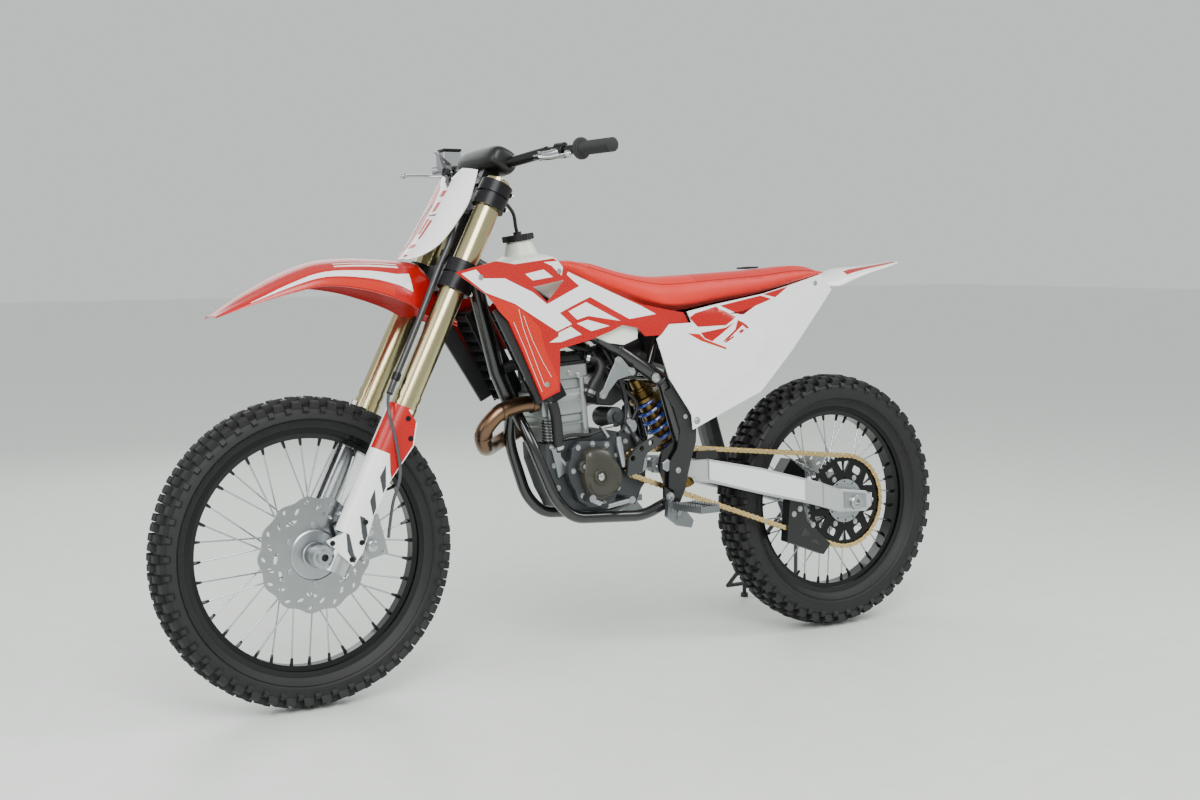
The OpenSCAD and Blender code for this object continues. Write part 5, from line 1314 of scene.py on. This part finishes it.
# Starter motor behind the cylinder, and the black boxes and brackets that fill the frame above it.
starter = Shape()
starter.tube([(690, -30, 606), (690, -28, 606), (690, 44, 606), (690, 48, 606)], [22, 25, 25, 20], 36,
             ref=(1, 0, 0.1))
starter.tube([(690, 44, 606), (690, 56, 606)], [12, 12], 24, ref=(1, 0, 0.1))
starter.made("starter_motor", case_alloy, "frame", slot="engine_alloy", sharp=40)
boxes = Shape()
boxes.slab([(752, 690), (706, 716), (672, 700), (668, 650), (700, 634), (744, 640)], -46, 50)
boxes.slab([(742, 792), (640, 716), (652, 700), (700, 704), (716, 756)], 60, 84)
boxes.slab([(742, 792), (640, 716), (652, 700), (700, 704), (716, 756)], -84, -60)
boxes.slab([(650, 640), (664, 632), (668, 596), (654, 592)], 30, 44)
boxes.made("intake_boot_and_brackets", moulded_black, "frame", bevel=4, slot="black_plastic", sharp=40)

# Rubber coolant hoses with steel clamps, and wiring in soft sleeves.
hose_rubber = finish("coolant_hose_rubber", "151516", 0.5, tint="1E1E20", grain=1.2, relief=0.08)
hoses, clamps, wires = Shape(), Shape(), Shape()
for path, r in (([(772, 40, 758), (744, 56, 748), (744, 68, 722), (768, 72, 688), (779, 70, 664)], 13),
                ([(890, 40, 742), (918, 62, 742), (946, 84, 724), (948, 92, 712)], 14),
                ([(900, 90, 672), (884, 84, 640), (872, 74, 600), (866, 66, 560), (858, 62, 536)], 13),
                ([(890, -40, 742), (918, -62, 742), (946, -84, 724), (948, -92, 712)], 14),
                ([(900, -90, 672), (886, -60, 650), (882, 0, 636), (884, 52, 640)], 13)):
    line = curve_through(path, 8)
    hoses.tube(line, r, 20, ref=(0.3, 1, 0.1))
    for k in (3, len(line) - 5):
        d = (line[k + 1] - line[k]).normalized()
        clamps.tube([line[k] - d * 4, line[k] + d * 4], r + 1.2, 28, ref=(0.3, 1, 0.1))
for path, r in (([(738, 70, 782), (700, 76, 712), (676, 70, 650), (684, 76, 588), (712, 88, 566)], 4),
                ([(760, 60, 770), (708, 66, 700), (640, 62, 640), (652, 62, 598)], 4.5),
                ([(866, 74, 566), (830, 76, 572), (790, 80, 570), (752, 90, 582)], 4.5),
                ([(1012, 50, 905), (940, 58, 840), (840, 52, 792), (740, 46, 770)], 5),
                ([(655, 60, 560), (640, 70, 520), (664, 76, 566), (690, 82, 600)], 3.5)):
    wires.tube(curve_through(path, 8), r, 12, ref=(0.3, 1, 0.1))
hoses.made("coolant_hoses", hose_rubber, "frame", slot="hose")
clamps.made("hose_clamps_engine", bolt_zinc, "frame", slot="steel")
wires.made("wiring", hose_rubber, "frame", slot="hose")
spring_wire = Shape()
spring_path = [(889 + 14 * math.cos(2 * math.pi * t / 14), 58 + 14 * math.sin(2 * math.pi * t / 14),
                610 - 0.5 * t) for t in range(112)]
spring_wire.tube(spring_path, 1.5, 8, ref=(0.01, 0.02, 1))
spring_wire.made("header_spring", clamp_black, "frame", slot="steel")

# Intake and exhaust: throttle body and boot, header of titanium-coloured steel, alloy silencer.
header_steel = finish("heat_tinted_steel", "8A6B4C", 0.3, metallic=1.0, tint="5B4B49", grain=1.6, vary=0.08,
                      relief=0.02)
silencer_alloy = finish("brushed_silencer_alloy", "B6B8B8", 0.34, metallic=1.0, tint="A3A6A6", grain=1.0,
                        relief=0.04,
                        stretch=(0.06, 1, 1))
pipe = Shape()
HEADER = [(910, 43, 650), (950, 45, 651), (1010, 44, 634), (1046, 30, 590), (1030, 0, 556), (992, -56, 546),
          (940, -101, 556),
          (860, -108, 588), (760, -106, 626), (660, -122, 650), (560, -139, 664), (449.3, -145, 678)]
pipe.tube(curve_through(HEADER, 7), 19.6, 36, ref=(0.1, 0.3, 1))
pipe.made("header_tube", header_steel, "frame", stands_for=["header_pipe"], slot="header_steel", sharp=50)
paint_node("silencer", silencer_alloy, 1.5)
paint_node("throttle_body", moulded_black, 1.0)
paint_node("airbox", moulded_black, 1.5)
exhaust = Shape()
SIL_A, SIL_B = Vector((450, -146, 690)), Vector((70, -150, 812))
axis = (SIL_B - SIL_A).normalized()
for d, r in ((22, 53.2), (250, 53.2), (376, 53.2)):
    exhaust.tube([SIL_A + axis * (d - 8), SIL_A + axis * (d - 7), SIL_A + axis * (d + 7),
                  SIL_A + axis * (d + 8)],
                 [r - 1, r, r, r - 1], 56, ref=(0, 0.2, 1))
exhaust.made("silencer_bands", clamp_black, "frame", slot="steel")
rings = Shape()
for k, f in ((0, 0.3), (1, 0.9), (3, 0.2)):
    a, b = Vector(HEADER[k]), Vector(HEADER[k + 1])
    m, d = a + (b - a) * f, (b - a).normalized()
    rings.tube([m - d * 3, m + d * 3], 21.6, 36, ref=(0.1, 1, 0.2))
rings.made("header_joints", header_steel, "frame", slot="header_steel")

# Radiators: aluminium cores with folded fins behind moulded louvres.
fin_alloy = finish("black_core_alloy", "1B1C1E", 0.4, metallic=0.7, tint="242528", grain=0.9)
paint_node("radiators", fin_alloy, 1.0)
paint_node("radiator_louvres", moulded_black, 1.0)
RAD_TOP, RAD_LOW = Vector((1006, 0, 884)), Vector((896, 0, 664))
down = (RAD_LOW - RAD_TOP).normalized()
front = Vector((-down.z, 0, down.x))
fins, vanes = Shape(), Shape()
for side in (1, -1):
    for k in range(44):
        c = RAD_TOP + down * (6 + k * 5.3) + front * 18.2
        fins.rings([[c + Vector((0, side * y, 0)) + front * d + down * t
                     for d, t in ((0, -0.7), (2.2, -0.7), (2.2, 0.7), (0, 0.7))] for y in (70, 136)])
    for k in range(9):
        c = RAD_TOP + down * (10 + k * 27) + front * 22
        vanes.rings([[c + Vector((0, side * y, 0)) + front * d + down * t
                      for d, t in ((0, 0), (12, 9), (13, 7), (1, -2))] for y in (68, 139)])
    for y in (67, 140):
        vanes.rings([[RAD_TOP + Vector((0, side * (y + w), 0)) + front * d + down * t
                      for d, t in ((18.5, 2), (34, 2), (34, 240), (18.5, 240))] for w in (-1.4, 1.4)])
fins.made("radiator_fins", fin_alloy, "frame", slot="radiator_alloy")
vanes.made("radiator_vanes", moulded_black, "frame", slot="black_plastic")

# ---------------------------------------------------------------------------------------------
# Rear suspension: cast and extruded alloy arm on a steel pivot, one coil-over damper with a blue
# lacquered spring.
arm_alloy = finish("clear_anodised_arm", "D3D6D6", 0.3, metallic=0.75, tint="C3C7C8", grain=1.4,
                   relief=0.02, vary=0.06)
spring_blue = finish("blue_lacquered_spring", "1B3FA6", 0.25, tint="16368F", grain=2.0, coat=0.6)
damper_bronze = finish("bronze_anodised_damper", "7C6438", 0.28, metallic=0.9, tint="6B552E", grain=1.2)
paint_node("swingarm", arm_alloy, 2.0)
paint_node("shock_spring", spring_blue)
paint_node("shock", damper_bronze, 0.6)
ARM = [(600, 462, 500, 56, 70), (560, 458, 498, 56, 78), (505, 447, 492, 58, 84), (449, 430, 487, 62, 92),
       (360, 404, 468, 64, 98),
       (287, 384, 452, 66, 104), (200, 362, 428, 74, 112), (150, 350, 414, 86, 114), (110, 338, 402, 91, 121),
       (47, 318, 380, 91, 121), (-40, 314, 368, 91, 121), (-58, 322, 360, 94, 118)]
arm_out = [(r[0], r[4]) for r in ARM[::-1]]
arm_top = [(r[0], r[2]) for r in ARM[::-1]]
arm_low = [(r[0], r[1]) for r in ARM[::-1]]
# Painted highlight: a white field along the arm's outer side, between the weld and the axle block, standing in for the
# light falling on that face.
arm_painted_highlight = finish("satin_white_arm_coat", "E9ECEC", 0.3, tint="DFE3E4", grain=2.0, coat=0.4)
for side, label in ((1, "left"), (-1, "right")):
    xs = [447 - 15 * k for k in range(20)]
    outline = [(x, level(arm_top, x) - 6) for x in xs] + [(x, level(arm_low, x) + 6) for x in xs[::-1]]
    # White sheet on each outer face of the arm: painted highlight, not a coating.
    decal("arm_coat_" + label, outline, arm_painted_highlight, "frame", lambda x, z: level(arm_out, x), lift=0.4,
          thick=0.3, side=side,
          step=15)
arm_bits = Shape()
for side in (1, -1):
    # Weld between the cast front and the extruded beam, and the axle blocks with their adjusters.
    for x in (449, 108):
        w = level(arm_out, x) + 0.4
        ring = [(w, level(arm_low, x) + 4), (w, level(arm_top, x) - 4), (w - 4, level(arm_top, x) + 0.3),
                (w - 26, level(arm_top, x) + 0.3)]
        arm_bits.tube([(x, side * y, z) for y, z in ring], 1.8, 8, ref=(1, 0, 0))
    arm_bits.rings([[(x, side * y, z) for x,
                     z in ((38, 328), (38, 372), (-36, 362), (-36, 324))] for y in (120.8, 124.5)])
    arm_bits.tube([(-56, side * 106, 341), (-66, side * 106, 341)], 4.5, 16, ref=(0, 1, 0))
    arm_bits.bolt((-66, side * 106, 341), (-1, 0, 0), 7, 5, 6)
    arm_bits.tube([(585, side * 103, 482), (585, side * 111, 482), (585, side * 113, 482)], [16, 16, 13], 6,
                  ref=(1, 0.1, 0))
arm_bits.made("arm_fittings", hub_alloy, "frame", bevel=0.6, slot="bare_alloy", sharp=40)
axle_ends = Shape()
axle_ends.turned((0, 0, 341), [(8.2, 124.6), (13, 124.6), (19, 125), (19, 131), (17, 133), (8.2, 133)],
                 steps=40)
axle_ends.made("axle_nut", bolt_zinc, "frame", slot="steel")
paint_node("rear_axle", hub_alloy, 0.4)
shock_bits = Shape()
LOW, TOP = Vector((452, 0, 424)), Vector((606, 0, 700))
up = (TOP - LOW).normalized()
shock_bits.tube([TOP - up * 62, TOP - up * 54], 39, 48, ref=(0, 1, 0.1))
for d in (0, 4, 8, 12):
    shock_bits.tube([TOP - up * (50 - d), TOP - up * (48 - d)], 30, 40, ref=(0, 1, 0.1))
shock_bits.tube([TOP - up * 30 + Vector((-34, 0, -14)), TOP - up * 130 + Vector((-44, 0, -30))], [22, 22],
                32, ref=(0, 1, 0.1))
shock_bits.made("damper_collars_and_reservoir", damper_bronze, "frame", slot="shock_bronze", sharp=40)

# ---------------------------------------------------------------------------------------------
# Final drive: gold plated roller chain over a black anodised sprocket, with nylon guides.
chain_gold = finish("gold_plated_link", "E8CC92", 0.26, metallic=1.0, tint="D8B878", grain=0.9, vary=0.08)
ring_points = []
for centre, r, count in (((648, 490), 33.17, 120), ((0, 341), 121.4, 480), ((455, 505), 8.5, 40)):
    ring_points += [(centre[0] + r * math.cos(2 * math.pi * k / count),
                     centre[1] + r * math.sin(2 * math.pi * k / count))
                    for k in range(count)]


def hull(points):
    """Convex outline round a set of points, counter-clockwise."""
    points = sorted(set(points))
    out = []
    for seq in (points, points[::-1]):
        part = []
        for p in seq:
            while len(part) > 1 and ((part[-1][0] - part[-2][0]) * (p[1] - part[-2][1])
                                     - (part[-1][1] - part[-2][1]) * (p[0] - part[-2][0])) <= 0:
                part.pop()
            part.append(p)
        out += part[:-1]
    return out


loop = hull(ring_points)
start = min(range(len(loop)), key=lambda i: loop[i][0])
loop = loop[start:] + loop[:start + 1]
lengths = [0.0]
for p, q in zip(loop, loop[1:]):
    lengths.append(lengths[-1] + math.dist(p, q))
links = 2 * round(lengths[-1] / 15.875 / 2)


def on_loop(d):
    d %= lengths[-1]
    for i in range(len(loop) - 1):
        if d <= lengths[i + 1]:
            f = (d - lengths[i]) / (lengths[i + 1] - lengths[i])
            return Vector((loop[i][0] + (loop[i + 1][0] - loop[i][0]) * f, 0,
                           loop[i][1] + (loop[i + 1][1] - loop[i][1]) * f))


pins = [on_loop(k * lengths[-1] / links) for k in range(links)]
plates, rollers = Shape(), Shape()
for k in range(links):
    p, q = pins[k], pins[(k + 1) % links]
    u = (q - p).normalized()
    w = Vector((-u.z, 0, u.x))
    half = (q - p).length / 2
    outline = []
    for t in range(24):
        a = 2 * math.pi * t / 24
        c = math.cos(a)
        waist = 6.7 - 1.9 * max(0.0, 1 - (abs(c) / 0.55)) if abs(c) < 0.55 else 6.7 * math.sqrt(max(0.0,
            1 - ((abs(c) - 0.55) / 0.45) ** 2))
        x = c * (half + 6.7)
        outline.append((x, waist * (1 if math.sin(a) >= 0 else -1)))
    inner = k % 2
    for y in (5.0, -6.7) if inner else (7.1, -8.8):
        plates.rings([[(p + q) / 2 + u * x + w * z + Vector((0, 74 + y + t, 0)) for x,
                       z in outline] for t in (0, 1.7)])
    rollers.tube([p + Vector((0, 74 - 4.8, 0)), p + Vector((0, 74 + 4.8, 0))], 4.9, 14, ref=(1, 0.01, 0.1))
    rollers.tube([p + Vector((0, 74 - 8.95, 0)), p + Vector((0, 74 + 8.95, 0))], 2.4, 10, ref=(1, 0.01, 0.1))
plates.made("chain_plates", chain_gold, "frame", stands_for=["chain"], slot="chain_gold", sharp=50)
rollers.made("chain_rollers", hub_alloy, "frame", slot="steel", sharp=50)

sprocket_black = finish("hard_anodised_sprocket", "101012", 0.34, metallic=0.5, tint="17171A", grain=1.0,
                        vary=0.06)
teeth = []
for k in range(48):
    for offset, r in ((-5.9, 122.2), (-4.9, 119.0), (-2.8, 116.8), (0, 116.0), (2.8, 116.8), (4.9, 119.0),
                      (5.9, 122.2), (7.94, 123.0)):
        a = math.pi + 2 * math.pi * k / 48 + offset / 121.4
        teeth.append((r * math.cos(a), r * math.sin(a)))


def soft_corners(points, radius, steps=4):
    """An outline with its corners rounded."""
    out = []
    n = len(points)
    for i in range(n):
        a, b, c = (Vector((*points[(i + d) % n], 0)) for d in (-1, 0, 1))
        u, w = (a - b).normalized(), (c - b).normalized()
        for k in range(steps + 1):
            t = k / steps
            p = b + u * radius * (1 - t) ** 2 + w * radius * t ** 2
            out.append((p.x, p.y))
    return out


def turned_loop(points, a):
    return [(x * math.cos(a) - z * math.sin(a), x * math.sin(a) + z * math.cos(a)) for x, z in points]


holes = [loop_of(lambda t: (46.3 * math.cos(t), 46.3 * math.sin(t)), 60)]
for k in range(6):
    a = math.radians(60 * k)
    holes.append(turned_loop(soft_corners([(100, 15), (80, 14), (80, -14), (100, -15)], 6), a))
    holes.append(turned_loop(soft_corners([(73, 0), (106, 22), (106, 3)], 4), a + math.radians(30)))
    holes.append(turned_loop(soft_corners([(73, -0.01), (106, -3), (106, -22)], 4), a + math.radians(30)))
    holes.append([(x + 57 * math.cos(a + math.radians(30)),
                   z + 57 * math.sin(a + math.radians(30))) for x,
                   z in loop_of(lambda t: (6 * math.cos(t), 6 * math.sin(t)), 16)])
outline_plate(teeth, holes, 71, 77, (0, 0, 341), "toothed_sprocket", sprocket_black, "rear_wheel",
              ["rear_sprocket"],
              bevel=0.4)
hub_face = [loop_of(lambda t: (46.4 * math.cos(t), 46.4 * math.sin(t)), 60)]
for k in range(12):
    a = 2 * math.pi * k / 12
    hub_face.append([(x + 52 * math.cos(a), z + 52 * math.sin(a)) for x,
                     z in loop_of(lambda t: (2.6 * math.cos(t), 2.6 * math.sin(t)), 12)])
outline_plate(loop_of(lambda t: (58 * math.cos(t), 58 * math.sin(t)), 72), hub_face, 77.2, 79.6,
              (0, 0, 341), "sprocket_carrier_face",
              hub_alloy, "rear_wheel", [])
sprocket_bolts = Shape()
for k in range(6):
    a = math.radians(60 * k)
    sprocket_bolts.bolt((68 * math.cos(a), 77, 341 + 68 * math.sin(a)), (0, 1, 0), 5.5, 4.5, 6, washer=7.5)
sprocket_bolts.made("sprocket_bolts", bolt_zinc, "rear_wheel", slot="steel")
paint_node("front_sprocket", hub_alloy, 0.5)
paint_node("chain_guides", moulded_black, 1.4)
guide_bits = Shape()
for x, z in ((160, 334), (180, 322), (118, 288)):
    guide_bits.bolt((x, 88, z), (0, 1, 0), 5, 4, 6, washer=7.5)
guide_bits.made("guide_bolts", bolt_zinc, "frame", slot="steel")
guide_marks = Shape()
for loop_points in ([(146, 286), (160, 262), (128, 262)], [(110, 250), (96, 232), (132, 246)]):
    guide_marks.slab(loop_points, 88, 88.6)
guide_marks.made("guide_cutouts", decal_black, "frame", slot="black_plastic")

# ---------------------------------------------------------------------------------------------
# Foot controls and stand: cast steel pegs with teeth, forged alloy levers, and a bent wire stand
# plugged into the hollow rear axle.
peg_steel = finish("cast_peg_steel", "8E9193", 0.42, metallic=1.0, tint="7A7D80", grain=1.2, relief=0.08,
                   vary=0.1)
stand_paint = finish("black_stand_coating", "121214", 0.4, tint="1B1B1E", grain=2.0, relief=0.03, coat=0.2)
paint_node("footpegs", peg_steel, 1.2)
paint_node("foot_controls", hub_alloy, 0.6)
paint_node("triangle_stand", stand_paint, 0.4)
peg_teeth = Shape()
for side in (1, -1):
    for k in range(11):
        for x in (525, 573):
            y = side * (130 + k * 10.5)
            peg_teeth.rings([[(x + sx * w, y + sy * w * 1.1, z) for sx,
                              sy in ((-1, -1), (1, -1), (1, 1), (-1, 1))]
                             for z, w in ((386, 2.9), (393, 1.1))])
    peg_teeth.bolt((560, side * 118, 350), (0, side, 0), 6, 4, 6, washer=9)
    peg_teeth.bolt((578, side * 118, 372), (0, side, 0), 6, 4, 6, washer=9)
peg_teeth.made("peg_teeth", peg_steel, "frame", slot="peg_steel", sharp=30)
lever_rubber = Shape()
lever_rubber.tube([(828, 126, 424), (828, 128, 424), (828, 155, 424), (828, 157, 424)],
                  [9.6, 10.2, 10.2, 9.2], 24, ref=(1, 0, 0.1))
lever_rubber.tube([(770, 124, 398), (790, 126.5, 406)], [6.6, 6.6], 14, ref=(0, 1, 0.1))
lever_rubber.made("shift_rubber", grip_rubber, "frame", slot="grip_rubber", sharp=40)
caliper_parts = Shape()
for a, r in ((-38 + 4, 118), (-38 + 4, 92)):
    c = Vector((r * math.cos(math.radians(a)), -82, 341 - r * math.sin(math.radians(a)) * -1))
    caliper_parts.bolt(c, (0, -1, 0), 7, 5, 20, washer=10)
caliper_parts.made("rear_caliper_bolts", bolt_zinc, "frame", slot="steel")
